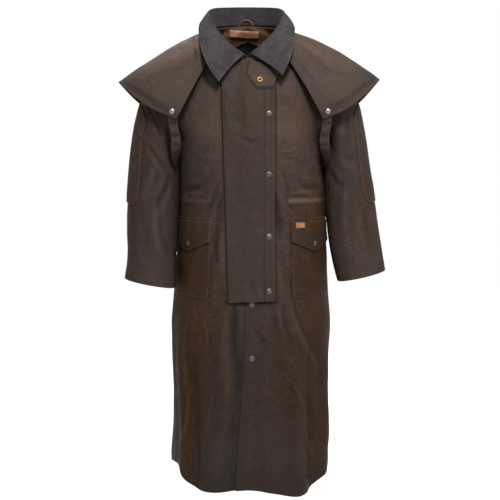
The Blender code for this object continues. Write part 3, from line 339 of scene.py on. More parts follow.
# Creases placed on the fronts, in millimetres as seen from the front: two ends, how far the
# middle bows sideways, the half width and the height, which is below 0 for a trough
FRONT_CREASES = [
    ("x0", "z0", "x1", "z1", "bow", "width", "height"),
    (-14, -318, 14, -332, 5, 9, -3.2),
    (12, -326, 34, -322, -4, 8, 2.2),
    (-26, -300, -8, -330, 4, 12, 1.4),
    (-30, -236, 10, -282, 8, 16, -1.6),
    (20, -250, 42, -322, -6, 15, -1.5),
    (66, -452, 98, -600, 8, 12, -2.6),
    (76, -430, 112, -540, 10, 14, 2.2),
    (70, -520, 90, -690, 6, 14, -2.0),
    (72, -640, 84, -748, -4, 12, 1.8),
    (84, -360, 150, -418, -8, 20, -1.6),
    (100, -290, 158, -330, 10, 20, 1.5),
    (78, -190, 130, -262, 12, 22, -1.5),
    (112, -205, 168, -300, 10, 18, 1.4),
    (128, -430, 180, -452, 6, 11, -1.5),
    (120, -466, 186, -470, -3, 9, 1.3),
    (-84, -470, -100, -640, -8, 14, -2.2),
    (-74, -520, -82, -700, -4, 13, 2.0),
    (-92, -560, -78, -742, 5, 11, -1.7),
    (-90, -330, -150, -400, 8, 20, -1.4),
    (-100, -210, -150, -300, -12, 22, 1.5),
    (-128, -440, -186, -462, -5, 12, -1.5),
    (-118, -474, -184, -472, 4, 9, 1.2),
    (-86, -380, -60, -480, 10, 18, 1.1),
    (-44, -420, -30, -560, -6, 16, -1.5),
    (-8, -470, 12, -600, 6, 18, 1.2),
    (-40, -600, -10, -730, 8, 18, -1.4),
    (104, -760, 158, -890, 10, 13, 3.0),
    (92, -790, 140, -920, 8, 15, -2.4),
    (60, -772, 84, -860, 5, 15, -1.8),
    (120, -880, 176, -960, -8, 18, 1.5),
    (-42, -772, -30, -1020, 8, 17, -4.0),
    (-66, -800, -58, -1060, -8, 20, 2.4),
    (-98, -800, -92, -990, 8, 18, -1.8),
    (-150, -790, -140, -960, 8, 14, 1.8),
    (-176, -940, -166, -1120, -8, 13, 2.6),
    (-160, -900, -150, -1180, 6, 15, -2.6),
    (-120, -960, -104, -1210, 8, 24, 1.8),
    (-24, -900, -40, -1150, 6, 16, -2.2),
    (20, -840, 44, -900, -8, 14, -1.8),
    (40, -900, 62, -1130, 8, 22, 1.7),
    (84, -930, 100, -1160, -10, 20, -1.9),
    (30, -1090, 80, -1220, 12, 20, 1.5),
    (134, -960, 150, -1190, 8, 16, 2.6),
    (156, -1030, 146, -1230, -8, 14, -2.6),
    (176, -900, 186, -1080, 6, 13, 1.8),
    (108, -1130, 118, -1255, 6, 16, -1.6),
    (-64, -1080, -80, -1240, 6, 18, 1.6),
    (6, -1000, -14, -1240, -6, 15, 1.4),
    (82, -352, 130, -343, 4, 5, 0.9),
    (96, -372, 150, -392, -5, 5, -0.8),
    (68, -396, 96, -485, -6, 6, 1.1),
    (86, -474, 120, -528, 5, 5, 1),
    (-84, -439, -108, -531, 6, 6, -1.1),
    (-108, -556, -90, -660, 8, 6, 1),
    (-150, -350, -96, -372, 6, 5, 0.7),
    (-74, -430, -92, -500, -4, 5, 0.9),
    (72, -560, 84, -640, 4, 5, 1.1),
    (109, -758, 180, -930, 10, 6, 1.4),
    (79, -770, 92, -848, 4, 6, 1.1),
    (-160, -776, -180, -910, 5, 6, 1),
    (-126, -800, -118, -900, -6, 5, 0.8),
    (100, -957, 152, -1066, -9, 6, 1.1),
    (150, -1060, 172, -1180, 7, 6, 1.2),
    (130, -1140, 160, -1220, -5, 5, 1),
    (-170, -1010, -182, -1130, -6, 6, 1.2),
    (-148, -1060, -130, -1200, 6, 6, -1.1),
    (-96, -1000, -112, -1110, 5, 5, 0.8),
    (26, -960, 60, -1010, 5, 5, 0.8),
    (44, -1150, 66, -1230, -5, 6, 0.9),
]

# The same for the back
BACK_CREASES = [
    ("x0", "z0", "x1", "z1", "bow", "width", "height"),
    (-150, -330, -60, -420, 16, 20, -1.8),
    (150, -335, 70, -430, -16, 20, -1.8),
    (-120, -400, -20, -455, 8, 15, 1.5),
    (120, -408, 26, -470, -8, 15, 1.6),
    (-176, -430, -96, -452, 6, 11, -1.5),
    (176, -436, 92, -458, -6, 11, -1.5),
    (-60, -440, 60, -446, 6, 12, 1.2),
    (-30, -250, -96, -350, 10, 22, 1.6),
    (40, -240, 110, -350, -10, 24, 1.6),
    (-140, -520, -128, -760, 10, 18, -2.2),
    (-90, -540, -100, -820, -8, 22, 2.2),
    (96, -530, 84, -800, 8, 20, 2.0),
    (146, -540, 156, -770, -10, 18, -2.2),
    (30, -520, 46, -760, 8, 20, -1.9),
    (-34, -560, -22, -800, -8, 20, 1.8),
    (-160, -800, -172, -1080, 8, 16, 2.6),
    (-110, -850, -120, -1190, -10, 20, -2.6),
    (-60, -820, -66, -1180, 10, 22, 2.2),
    (64, -840, 76, -1200, -8, 22, -2.4),
    (120, -820, 108, -1160, 8, 20, 2.4),
    (170, -860, 160, -1140, -8, 15, -2.4),
    (20, -900, 32, -1200, 8, 18, 1.8),
    (-26, -960, -36, -1220, 6, 18, -1.8),
]

# Creases of the sleeves: the angle round the sleeve in degrees (0 outside, 90 in front, 180 inside)
# and the distance down from the armhole in millimetres
RIGHT_ARM_CREASES = [
    ("angle0", "down0", "angle1", "down1", "bow", "width", "height"),
    (40, 150, 84, 200, 8, 12, 2.0),
    (60, 190, 110, 236, 9, 12, -2.4),
    (34, 250, 92, 300, -8, 13, 1.8),
    (70, 290, 128, 330, 8, 12, -2.4),
    (92, 330, 60, 420, 10, 14, 1.8),
    (128, 350, 96, 430, 6, 12, -2.6),
    (100, 420, 122, 560, -8, 13, 2.2),
    (70, 440, 84, 590, 7, 15, -1.7),
    (30, 420, 44, 560, 7, 18, 1.2),
    (150, 300, 200, 360, 8, 12, -2.2),
    (160, 380, 220, 430, -8, 12, 2.0),
    (-40, 180, -100, 250, 8, 15, -1.8),
    (-60, 300, -120, 360, 9, 14, 2.0),
    (-50, 370, -110, 400, -7, 12, -2.4),
    (-90, 440, -70, 580, 8, 16, 1.7),
    (-130, 420, -150, 600, 7, 15, -1.9),
    (120, 60, 150, 150, 8, 13, -1.9),
    (96, 70, 110, 170, 8, 15, 1.6),
]
LEFT_ARM_CREASES = [
    ("angle0", "down0", "angle1", "down1", "bow", "width", "height"),
    (118, 130, 90, 250, 9, 14, 2.6),
    (142, 150, 118, 290, 8, 13, -2.4),
    (76, 160, 92, 300, -8, 16, -1.6),
    (110, 300, 72, 350, 7, 12, 1.9),
    (140, 320, 96, 380, 8, 12, -2.2),
    (100, 390, 112, 540, 8, 15, 1.9),
    (72, 420, 64, 570, -8, 17, -1.6),
    (30, 400, 40, 540, 7, 19, 1.1),
    (150, 390, 210, 440, 8, 12, 2.0),
    (160, 300, 214, 350, -8, 12, -2.2),
    (-44, 190, -104, 260, -8, 15, -1.8),
    (-56, 310, -118, 352, 8, 14, 2.1),
    (-48, 372, -112, 412, 7, 12, -2.3),
    (-86, 450, -76, 590, -8, 16, 1.7),
    (-128, 430, -144, 600, 7, 15, -1.9),
]

# Creases of the cape: the place along it in millimetres from its front edge towards the centre back,
# and the distance down from the neck
CAPE_CREASES = [
    ("along0", "down0", "along1", "down1", "bow", "width", "height"),
    (60, 60, 74, 200, 6, 20, 1.5),
    (120, 30, 150, 200, 10, 24, -1.6),
    (176, 40, 196, 190, -8, 20, 1.6),
    (236, 50, 252, 210, 8, 22, 1.5),
    (300, 40, 330, 230, 10, 26, -1.9),
    (380, 60, 420, 260, -8, 26, 2.0),
    (460, 60, 500, 270, 8, 24, -1.7),
]

# Creases of the pockets, from their top front corner, and of the storm flap, in millimetres
POCKET_CREASES = {
    "right": [
        ("across0", "down0", "across1", "down1", "bow", "width", "height"),
        (20, 60, 60, 190, 8, 16, 1.4),
        (120, 70, 96, 200, 8, 18, -1.5),
        (60, 30, 130, 60, 5, 12, -1.0),
        (140, 120, 150, 205, -4, 9, 1.2),
    ],
    "left": [
        ("across0", "down0", "across1", "down1", "bow", "width", "height"),
        (24, 80, 110, 128, 8, 15, -1.5),
        (40, 140, 130, 176, -8, 15, 1.3),
        (120, 40, 150, 110, 6, 12, 1.2),
        (20, 178, 70, 206, 6, 10, -1.0),
    ],
}
FLAP_CREASES = [
    ("x0", "z0", "x1", "z1", "bow", "width", "height"),
    (-20, -316, 14, -326, 4, 8, -1.4),
    (-40, -240, 0, -300, 8, 16, -1.2),
    (-60, -400, -30, -520, 6, 16, 1.2),
    (10, -480, -10, -640, 8, 18, -1.3),
    (-50, -600, -20, -740, -6, 16, 1.2),
    (20, -700, 44, -752, 5, 12, 1.3),
]

# How far the inside of a sleeve bulges towards the body, by the distance down it, in millimetres
INSIDE_PRESS = {
    "right": (
        [0, 130, 190, 250, 290, 330, 400, 430, 460, 489, 530, 545, 560, 590, 650],
        [0, 0, 3.0, 5.0, 5.8, 5.6, 5.0, 5.8, 6.2, 6.6, 5.8, 1.2, 3.4, 1.0, 0],
    ),
    "left": (
        [0, 130, 190, 250, 280, 310, 330, 360, 400, 430, 446, 462, 650],
        [0, 0, 3.0, 4.8, 5.8, 5.4, 5.2, 4.2, 3.0, 2.8, 1.6, 0, 0],
    ),
}

# Waist channel: its middle height, its half height, where it starts in front, and its gathers
CHANNEL_Z = -0.487
CHANNEL_HALF = 0.009
CHANNEL_FROM = 0.104
GATHER_PITCH = 0.0115
GATHER_DEPTH = 0.0011
GATHER_REACH = 0.022

HEM_STITCH = 0.022
CUFF_STITCH = 0.028


def ease(x):
    x = np.clip(x, 0.0, 1.0)
    return x * x * (3 - 2 * x)


def unit(v):
    return v / np.maximum(np.linalg.norm(v, axis=-1, keepdims=True), 1e-12)


def signed_power(value, power):
    return np.copysign(np.abs(value) ** power, value)


def xyz(x, y, z):
    return np.stack(np.broadcast_arrays(x, y, z), -1).astype(float)


def read(table, column, at):
    """A table's column at values of its first column, on a smooth curve that doesn't overshoot."""
    names, rows = table[0], np.array(table[1:], float)
    x, y = rows[:, 0], rows[:, names.index(column)]
    at = np.clip(at, x[0], x[-1])
    rise = np.diff(y) / np.diff(x)
    before, after = rise[:-1], rise[1:]
    bends = before * after > 0
    inner = np.where(bends, 2 * before * after / np.where(bends, before + after, 1.0), 0.0)
    slopes = np.concatenate([rise[:1], inner, rise[-1:]])
    k = np.clip(np.searchsorted(x, at, side="right") - 1, 0, len(x) - 2)
    step = x[k + 1] - x[k]
    t = (at - x[k]) / step
    start, end, low, high = slopes[k] * step, slopes[k + 1] * step, y[k], y[k + 1]
    square, cube = 3 * (high - low) - 2 * start - end, 2 * (low - high) + start + end
    return low + t * start + t * t * square + t**3 * cube


def along(table, t):
    """All columns of a table with evenly spaced rows, at t from 0 to 1, on a smooth curve."""
    rows = np.array(table[1:], float)
    padded = np.concatenate([[2 * rows[0] - rows[1]], rows, [2 * rows[-1] - rows[-2]]])
    place = np.clip(np.asarray(t, float), 0, 1) * (len(rows) - 1)
    k = np.clip(place.astype(int), 0, len(rows) - 2)
    u = (place - k)[..., None]
    p0, p1, p2, p3 = padded[k], padded[k + 1], padded[k + 2], padded[k + 3]
    square, cube = 2 * p0 - 5 * p1 + 4 * p2 - p3, 3 * p1 - p0 - 3 * p2 + p3
    curve = 2 * p1 + (p2 - p0) * u + square * u**2 + cube * u**3
    return np.moveaxis(curve / 2, -1, 0)


def straight_along(table, t):
    rows = np.array(table[1:], float)
    at = np.linspace(0, 1, len(rows))
    return [np.interp(t, at, rows[:, c]) for c in range(rows.shape[1])]


def fold_height(folds, across, down, scale, length=1.0):
    """The height of the solids' own folds at a place."""
    total = np.zeros(np.broadcast(across, down, scale).shape)
    for top_a, top_d, low_a, low_d, half_width, depth in folds[1:]:
        t = (down - top_d) / (low_d - top_d)
        middle = top_a + (low_a - top_a) * np.clip(t, 0, 1)
        gap = (across - middle + 180.0) % 360.0 - 180.0
        side = np.radians(gap) * scale / half_width
        beyond = np.maximum(0, np.maximum(-t, t - 1)) * abs(low_d - top_d) * length / (2 * half_width)
        fade = np.where(t < 0.5, ease((t + 0.1) / 0.35), 1.0)
        total = total + depth * np.exp(-side * side - beyond * beyond) * fade
    return total


def crease_height(table, across, down):
    """The height of the listed creases at a place in millimetres, in metres."""
    total = np.zeros(np.broadcast(across, down).shape)
    for a0, d0, a1, d1, bow, width, height in table[1:]:
        run = math.hypot(a1 - a0, d1 - d0)
        ahead, aside = (a1 - a0) / run, (d1 - d0) / run
        t = ((across - a0) * ahead + (down - d0) * aside) / run
        held = np.clip(t, 0, 1)
        off = (across - a0) * aside - (down - d0) * ahead - bow * 4 * held * (1 - held)
        spread = off / (width * (0.75 + 0.5 * held))
        past = np.maximum(0, np.maximum(-t, t - 1)) * run / (1.4 * width)
        taper = (0.35 + 0.65 * np.sin(np.pi * np.clip(held * 0.9 + 0.05, 0, 1))) * np.exp(-past * past)
        shape = np.exp(-spread * spread) - 0.3 * np.exp(-((np.abs(spread) - 1.7) ** 2))
        total += height * shape * taper
    return total / 1000


def rumple(points, sizes, seed):
    """Soft uneven waves in the cloth: sizes lists (wave length, height, how much longer it is upright)."""
    total = np.zeros(points.shape[:-1])
    flat = points.reshape(-1, 3)
    for k, (size, height, upright) in enumerate(sizes):
        shift = Vector((seed * 7.3 + k * 3.1, seed * 2.7, k * 5.9))
        tall = size * upright
        values = [noise.noise(Vector((x / size, y / size, z / tall)) + shift) for x, y, z in flat.tolist()]
        total += np.array(values).reshape(total.shape) * height
    return total


BODY_RUMPLE = [(0.075, 0.0028, 2.2), (0.030, 0.0010, 1.4), (0.013, 0.00032, 1.0)]
CAPE_RUMPLE = [(0.085, 0.0022, 1.0), (0.032, 0.0007, 1.0), (0.013, 0.00025, 1.0)]
COLLAR_RUMPLE = [(0.050, 0.0011, 1.0), (0.018, 0.0004, 1.0)]


# Body sections, as in the solids


def torso_point(angle, z):
    a = np.radians(angle)
    half = np.where(angle > 0, read(TORSO, "left", z), read(TORSO, "right", z))
    forward = np.cos(a)
    depth = np.where(forward > 0, read(TORSO, "front", z), read(TORSO, "back", z))
    power = 2 / SQUARENESS
    out = 1 + fold_height(BODY_FOLDS, angle, z, BODY_RADIUS) / BODY_RADIUS
    return xyz(half * signed_power(np.sin(a), power) * out, -depth * signed_power(forward, power) * out, z)


def armhole(side, turn, face):
    inner_x, inner_z, outer_x, outer_z = RIGHT_ARM[1][:4]
    x = (inner_x + outer_x) / 2 + (outer_x - inner_x) / 2 * np.cos(turn)
    z = (inner_z + outer_z) / 2 + (outer_z - inner_z) / 2 * np.cos(turn)
    return xyz(side * x, face * ARMHOLE_HALF_DEPTH * np.sin(turn), z)


def neckline(side, share, face):
    a = share * math.pi / 2
    centre = FRONT_NECK if face < 0 else BACK_NECK
    drop = np.cos(a) ** 1.4 if face < 0 else np.cos(a)
    x = NECK_X + side * SIDE_NECK.x * np.sin(a)
    y = SIDE_NECK.y + (centre.y - SIDE_NECK.y) * np.cos(a)
    return xyz(x, y, SIDE_NECK.z + (centre.z - SIDE_NECK.z) * drop)


def upper_point(row, s, face):
    """A point of the front or back above the armpits."""
    side = np.where(s >= 0, 1, -1)
    neck_row = FRONT_NECK_ROW if face < 0 else BACK_NECK_ROW
    line = CHEST_LINE if face < 0 else BACK_LINE
    end = armhole(side, math.pi * (2 - row), face)
    at_neck = armhole(1, math.pi * (2 - neck_row), face)[2]
    share = (end[..., 2] - ARMPIT_Z) / (at_neck - ARMPIT_Z)
    z = ARMPIT_Z + (line[-1][0] - ARMPIT_Z) * np.minimum(share, 1)
    middle = xyz(NECK_X * share, read(line, "y", z), z)
    at_seam = neckline(side, np.clip((row - neck_row) / (2 - neck_row), 0, 1), face)
    start = np.where((row <= neck_row)[..., None], middle, at_seam)
    straight = 0.85 * ease((row - 1) / 0.45) + 0.15 * ease((row - 1.5) / 0.5)
    power = 2 / SQUARENESS
    a = np.abs(s) * math.pi / 2
    across = (1 - straight) * np.sin(a) ** power + straight * np.abs(s)
    deep = (1 - straight) * np.maximum(0.0, np.cos(a)) ** power + straight * (1 - np.abs(s))
    x = start[..., 0] + (end[..., 0] - start[..., 0]) * across
    y = end[..., 1] + (start[..., 1] - end[..., 1]) * deep
    z = start[..., 2] + (end[..., 2] - start[..., 2]) * np.abs(s)
    angle = s * 90 if face < 0 else side * (180 - np.abs(s) * 90)
    lift = fold_height(BODY_FOLDS, angle, z, BODY_RADIUS) * (1 - s * s) * ease((FRONT_NECK_ROW - row) / 0.3)
    return xyz(x, y + face * lift, z)


def body_point(face, row, s):
    """A point of the front or back: row 0 hem, 1 armpit, 2 shoulder; s 0 centre, 1 wearer's left."""
    row, s = np.broadcast_arrays(np.asarray(row, float), np.asarray(s, float))
    side, low, z = np.where(s >= 0, 1, -1), np.minimum(row, 1), np.full(row.shape, ARMPIT_Z)
    for _ in range(3):
        seam = read(SIDE_SEAM, "angle", z)
        angle = s * seam if face < 0 else side * (180 - np.abs(s) * (180 - seam))
        z = read(HEM, "z", angle) * (1 - low) + ARMPIT_Z * low
    return np.where((row > 1)[..., None], upper_point(np.maximum(row, 1), s, face), torso_point(angle, z))


def body_normal(face, row, s, step=0.004):
    """The outward normal of the front or back, from points on the same side of the centre line."""
    row, s = np.broadcast_arrays(np.asarray(row, float), np.asarray(s, float))
    side = np.where(s >= 0, 1, -1)
    reach = np.where(row < 1, 1 + step, 1)
    near, far = np.maximum(np.abs(s) - step, 1e-6), np.minimum(np.abs(s) + step, reach)
    left = (body_point(face, row, side * far) - body_point(face, row, side * near)) * side[..., None]
    up = body_point(face, np.minimum(row + step, 2 - 1e-6), s) - body_point(face, row - step, s)
    normal = unit(np.cross(left, up)) * (1 if face < 0 else -1)
    turn = math.pi * (2 - row)
    mitre = unit(xyz(side * 0.6, face * np.sin(turn), np.cos(turn)))
    corner = (row > 1 - 1e-6) & (np.abs(s) > 1 - 1e-6)
    normal = np.where(corner[..., None], mitre, normal)
    line = armhole(side, 0.0, face) - neckline(side, 1.0, face)
    top = unit(xyz(-line[..., 2] * side, 0.0, line[..., 0] * side))
    return np.where((row > 2 - 1e-6)[..., None], top, normal)


def front_rows(x, z):
    """The row and s of the fronts at an X and a Z, by Newton steps."""
    row = np.where(z < ARMPIT_Z, (z + 1.24) / 0.925, 1 + 0.66 * (z - ARMPIT_Z) / 0.216)
    s = x / 0.25
    for _ in range(10):
        here = body_point(-1, row, s)
        by_row = (body_point(-1, row + 0.002, s) - here) / 0.002
        by_s = (body_point(-1, row, s + 0.002) - here) / 0.002
        det = by_row[..., 0] * by_s[..., 2] - by_row[..., 2] * by_s[..., 0]
        dx, dz = x - here[..., 0], z - here[..., 2]
        row = row + (dx * by_s[..., 2] - dz * by_s[..., 0]) / det
        s = s + (dz * by_row[..., 0] - dx * by_row[..., 2]) / det
    return row, s


def gathers(points, face):
    """Small uneven puckers over and under the waist channel."""
    x, z = points[..., 0], points[..., 2]
    start = CHANNEL_FROM if face < 0 else -1.0
    there = ease((np.abs(x) - start) / 0.012)
    off = (z - CHANNEL_Z) / GATHER_REACH
    wave = np.sin(2 * math.pi * (x + 0.004 * np.sin(x * 190 + z * 60)) / GATHER_PITCH + 2.2 * np.sin(x * 75))
    uneven = (0.65 + 0.35 * np.sin(x * 47 + 1.3)) * (0.6 if face < 0 else 1.0)
    return there * wave * uneven * GATHER_DEPTH * np.exp(-off * off) * np.where(np.abs(off) < 0.3, 0.55, 1.0)


def channel(points, face):
    """The waist channel's band: it stands a little proud between two grooves."""
    x, z = points[..., 0], points[..., 2]
    start = CHANNEL_FROM if face < 0 else -1.0
    there = ease((np.abs(x) - start) / 0.004)
    off = np.abs(z - CHANNEL_Z)
    band = 0.0009 * ease((CHANNEL_HALF + 0.002 - off) / 0.004)
    groove = 0.0009 * np.exp(-(((off - CHANNEL_HALF) / 0.0022) ** 2))
    return there * (band - groove)


def body_relief(face, points):
    """All that stands out from the front or back, for it and for what lies on it."""
    table = FRONT_CREASES if face < 0 else BACK_CREASES
    height = crease_height(table, points[..., 0] * 1000, points[..., 2] * 1000)
    height += rumple(points, BODY_RUMPLE, 1 if face < 0 else 2)
    return height * ease((points[..., 2] + 1.30) / 0.03) + gathers(points, face) + channel(points, face)


# Cloth


def slots_of(length, edge_low=True, edge_high=True, cell=CELL):
    """Places from 0 to 1 along a length: evenly spaced, and close together along a sewn edge."""
    fine = [offset for offset in SEWN_EDGE if offset < length * 0.4]
    low = fine if edge_low else [0.0]
    high = [length - offset for offset in reversed(fine)] if edge_high else [length]
    count = max(2, int(round((high[0] - low[-1]) / cell)))
    middle = list(np.linspace(low[-1], high[0], count + 1)[1:-1])
    return np.array(low + middle + high) / length


def soften(field, times=6):
    for _ in range(times):
        padded = np.pad(field, 1, mode="edge")
        field = (padded[:-2, 1:-1] + padded[2:, 1:-1] + padded[1:-1, :-2] + padded[1:-1, 2:] + 2 * field) / 6
    return field


def edge_relief(rows, columns, height, width, sides="nsew"):
    """The groove of a stitch line and the rounded drop of the fold along a panel's edges."""
    across = np.full((len(rows), len(columns)), 1.0)
    down, over = rows[:, None] * height, columns[None, :] * width
    near = {"n": down, "s": height - down, "w": over, "e": width - over}
    for side in sides:
        across = np.minimum(across, near[side] + np.zeros_like(across))
    sewn = GROOVE_DEPTH if min(height, width) > 0.03 else 0.0
    groove = sewn * np.exp(-(((across - STITCH_OFFSET) / GROOVE_WIDTH) ** 2))
    return -groove - EDGE_DROP * np.exp(-((across / EDGE_WIDTH) ** 2)), across


def uv_grid(grid, wrap=False):
    """Texture places in metres along the rows and columns, with one more column where they meet."""
    if wrap:
        grid = np.concatenate([grid, grid[:, :1]], 1)
    across = np.linalg.norm(np.diff(grid, axis=1), axis=2)
    down = np.linalg.norm(np.diff(grid, axis=0), axis=2)
    u = np.concatenate([np.zeros((grid.shape[0], 1)), np.cumsum(across, 1)], 1)
    v = np.concatenate([np.zeros((1, grid.shape[1])), np.cumsum(down, 0)], 0)
    return np.stack([u - u.mean(1, keepdims=True), v], -1)


def grid_normals(grid):
    return unit(np.cross(np.gradient(grid, axis=1), np.gradient(grid, axis=0)))


def cloth(
    node, grid, normals, thick=CLOTH, wrap=False, kept=None, weld=None,
    relief=None, edge=None, looks=("oilskin", "oilskin_inside_painted_shade"),
):
    """A thin closed shell on a grid of outer points, raised along the normals by the relief."""
    rows, columns = grid.shape[:2]
    relief = np.zeros((rows, columns)) if relief is None else relief
    outer = grid + normals * relief[..., None]
    count = rows * columns
    index = np.arange(count).reshape(rows, columns)
    if weld is not None:
        index = weld(index)
    across = columns if wrap else columns - 1
    i, j = np.nonzero(np.ones((rows - 1, across), bool) if kept is None else kept)
    after = (j + 1) % columns
    quads = np.stack([index[i, j], index[i, after], index[i + 1, after], index[i + 1, j]], 1)
    uv = uv_grid(outer, wrap)
    quad_uv = np.stack([uv[i, j], uv[i, j + 1], uv[i + 1, j + 1], uv[i + 1, j]], 1)
    front = np.concatenate([outer.reshape(-1, 3), outer.reshape(-1, 3) - normals.reshape(-1, 3) * thick])
    facing = np.einsum("ij,ij->i", quad_normals(front, quads), normals.reshape(-1, 3)[quads[:, 0]])
    if facing.mean() < 0:
        quads, quad_uv = quads[:, ::-1], quad_uv[:, ::-1]
    pairs = np.concatenate([quads[:, [k, (k + 1) % 4]] for k in range(4)])
    _, first, uses = np.unique(pairs.min(1) * count + pairs.max(1), return_index=True, return_counts=True)
    rim = pairs[first[uses == 1]]
    ends = np.unique(rim)
    lean = np.zeros((count, 3))
    towards = np.cross(unit(front[rim[:, 1]] - front[rim[:, 0]]), normals.reshape(-1, 3)[rim[:, 0]])
    np.add.at(lean, rim[:, 0], towards)
    np.add.at(lean, rim[:, 1], towards)
    fold = (front[ends] + front[ends + count]) / 2 + unit(lean[ends]) * thick * 0.4
    points = np.concatenate([front, fold])
    a, b = rim[:, 0], rim[:, 1]
    fold_a, fold_b = 2 * count + np.searchsorted(ends, a), 2 * count + np.searchsorted(ends, b)
    rims = [np.stack(ring, 1) for ring in ([b, a, fold_a, fold_b], [fold_b, fold_a, a + count, b + count])]
    faces = np.concatenate([quads, quads[:, ::-1] + count, *rims])
    used, faces = np.unique(faces, return_inverse=True)
    faces = faces.reshape(-1, 4)
    ridge = np.clip((relief - soften(relief)) / 0.0005, -1, 1).reshape(-1)
    edge = (np.full((rows, columns), EDGE_REACH) if edge is None else edge).reshape(-1)
    at_rim = np.ones(len(ends))
    fields = {
        "ridge": np.concatenate([ridge, ridge, at_rim * 0.6])[used],
        "edge": np.concatenate([edge, edge, at_rim * 0.0])[used],
        "warm": np.zeros(len(used)),
        "shade": np.zeros(len(used)),
    }
    made = new_mesh("coat_" + node, points[used], faces.tolist(), fields)
    for look in looks:
        made.data.materials.append(MATERIALS[look])
    if len(looks) > 1:
        inside = np.zeros(len(faces), np.int32)
        inside[len(quads) : 2 * len(quads)] = 1
        made.data.polygons.foreach_set("material_index", inside)
    flat_uv = uv[:, :columns].reshape(-1, 2)
    rim_uv = np.stack([flat_uv[b], flat_uv[a], flat_uv[a], flat_uv[b]], 1)
    corners = np.concatenate([quad_uv, quad_uv[:, ::-1], rim_uv, rim_uv])
    made.data.uv_layers.new(name="cloth").data.foreach_set("uv", corners.reshape(-1))
    finish_piece(made, node)
    return made, outer


def quad_normals(points, quads):
    return np.cross(points[quads[:, 1]] - points[quads[:, 0]], points[quads[:, 2]] - points[quads[:, 0]])


def new_mesh(name, points, faces, fields=None):
    data = bpy.data.meshes.new(name)
    data.from_pydata(np.asarray(points).tolist(), [], faces)
    for key, values in (fields or {}).items():
        data.attributes.new(key, "FLOAT", "POINT").data.foreach_set("value", values.astype(np.float32))
    data.shade_smooth()
    obj = bpy.data.objects.new(name, data)
    bpy.context.scene.collection.objects.link(obj)
    return obj


def finish_piece(obj, node=None):
    """Every piece rides on the one body, and the solid that it stands for is hidden."""
    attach(obj, "root")
    if node:
        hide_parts(node)


# Stitches


def resample(path, pitch):
    """Points, directions and stations every half pitch along a path."""
    gaps = np.linalg.norm(np.diff(path[:, :3], axis=0), axis=1)
    at = np.concatenate([[0], np.cumsum(gaps)])
    count = max(1, int(at[-1] / pitch))
    stations = np.linspace(0, at[-1], 2 * count + 1)
    return np.stack([np.interp(stations, at, path[:, c]) for c in range(path.shape[1])], 1)


def sew(node, runs, look="thread", pitch=STITCH_PITCH, radius=STITCH_RADIUS):
    """Lock stitches along runs of (points, normals), in one joined mesh of small threads."""
    name = "stitches_" + node
    points, faces = [], []
    for path, normals in runs:
        line = resample(np.concatenate([path, normals], 1), pitch)
        spots, ups = line[:, :3], unit(line[:, 3:])
        start, middle, end = spots[:-2:2], spots[1:-1:2], spots[2::2]
        up = ups[1:-1:2]
        run = unit(end - start)
        side = unit(np.cross(run, up))
        sunk, raised = up * radius * 0.7, up * radius * 0.75
        first, last = start + (middle - start) * 0.22 - sunk, end - (end - middle) * 0.22 - sunk
        centres = [first, middle + raised, last]
        base = sum(len(p) for p in points)
        ring = []
        for centre, scale in zip(centres, (0.7, 1.0, 0.7)):
            for turn in range(4):
                a = math.pi / 4 + math.pi / 2 * turn
                ring.append(centre + (side * math.cos(a) + up * math.sin(a)) * radius * scale)
        block = np.stack(ring, 1)
        points.append(block.reshape(-1, 3))
        for k in range(len(start)):
            b = base + k * 12
            for level in (0, 4):
                for t in range(4):
                    u = (t + 1) % 4
                    faces.append((b + level + t, b + level + u, b + level + 4 + u, b + level + 4 + t))
            faces.append((b + 3, b + 2, b + 1, b))
            faces.append((b + 8, b + 9, b + 10, b + 11))
    obj = new_mesh(name, np.concatenate(points), faces)
    obj.data.materials.append(MATERIALS[look])
    finish_piece(obj)


def column_run(outer, normals, columns, width, offset):
    """The run along the column that is nearest to an offset from the start of a grid."""
    j = int(np.argmin(np.abs(columns * width - offset)))
    return outer[:, j], normals[:, j]


def row_run(outer, normals, rows, height, offset):
    i = int(np.argmin(np.abs(rows * height - offset)))
    return outer[i], normals[i]


def border_runs(outer, normals, rows, columns, height, width, offset=STITCH_OFFSET, sides="nsew"):
    """Stitch runs at an offset inside a panel's edges, from corner to corner of the inner line."""
    i0 = int(np.argmin(np.abs(rows * height - offset))) if "n" in sides else 0
    i1 = int(np.argmin(np.abs(height - rows * height - offset))) if "s" in sides else len(rows) - 1
    j0 = int(np.argmin(np.abs(columns * width - offset))) if "w" in sides else 0
    j1 = int(np.argmin(np.abs(width - columns * width - offset))) if "e" in sides else len(columns) - 1
    runs = []
    if "n" in sides:
        runs.append((outer[i0, j0 : j1 + 1], normals[i0, j0 : j1 + 1]))
    if "s" in sides:
        runs.append((outer[i1, j0 : j1 + 1], normals[i1, j0 : j1 + 1]))
    if "w" in sides:
        runs.append((outer[i0 : i1 + 1, j0], normals[i0 : i1 + 1, j0]))
    if "e" in sides:
        runs.append((outer[i0 : i1 + 1, j1], normals[i0 : i1 + 1, j1]))
    return runs


# Materials


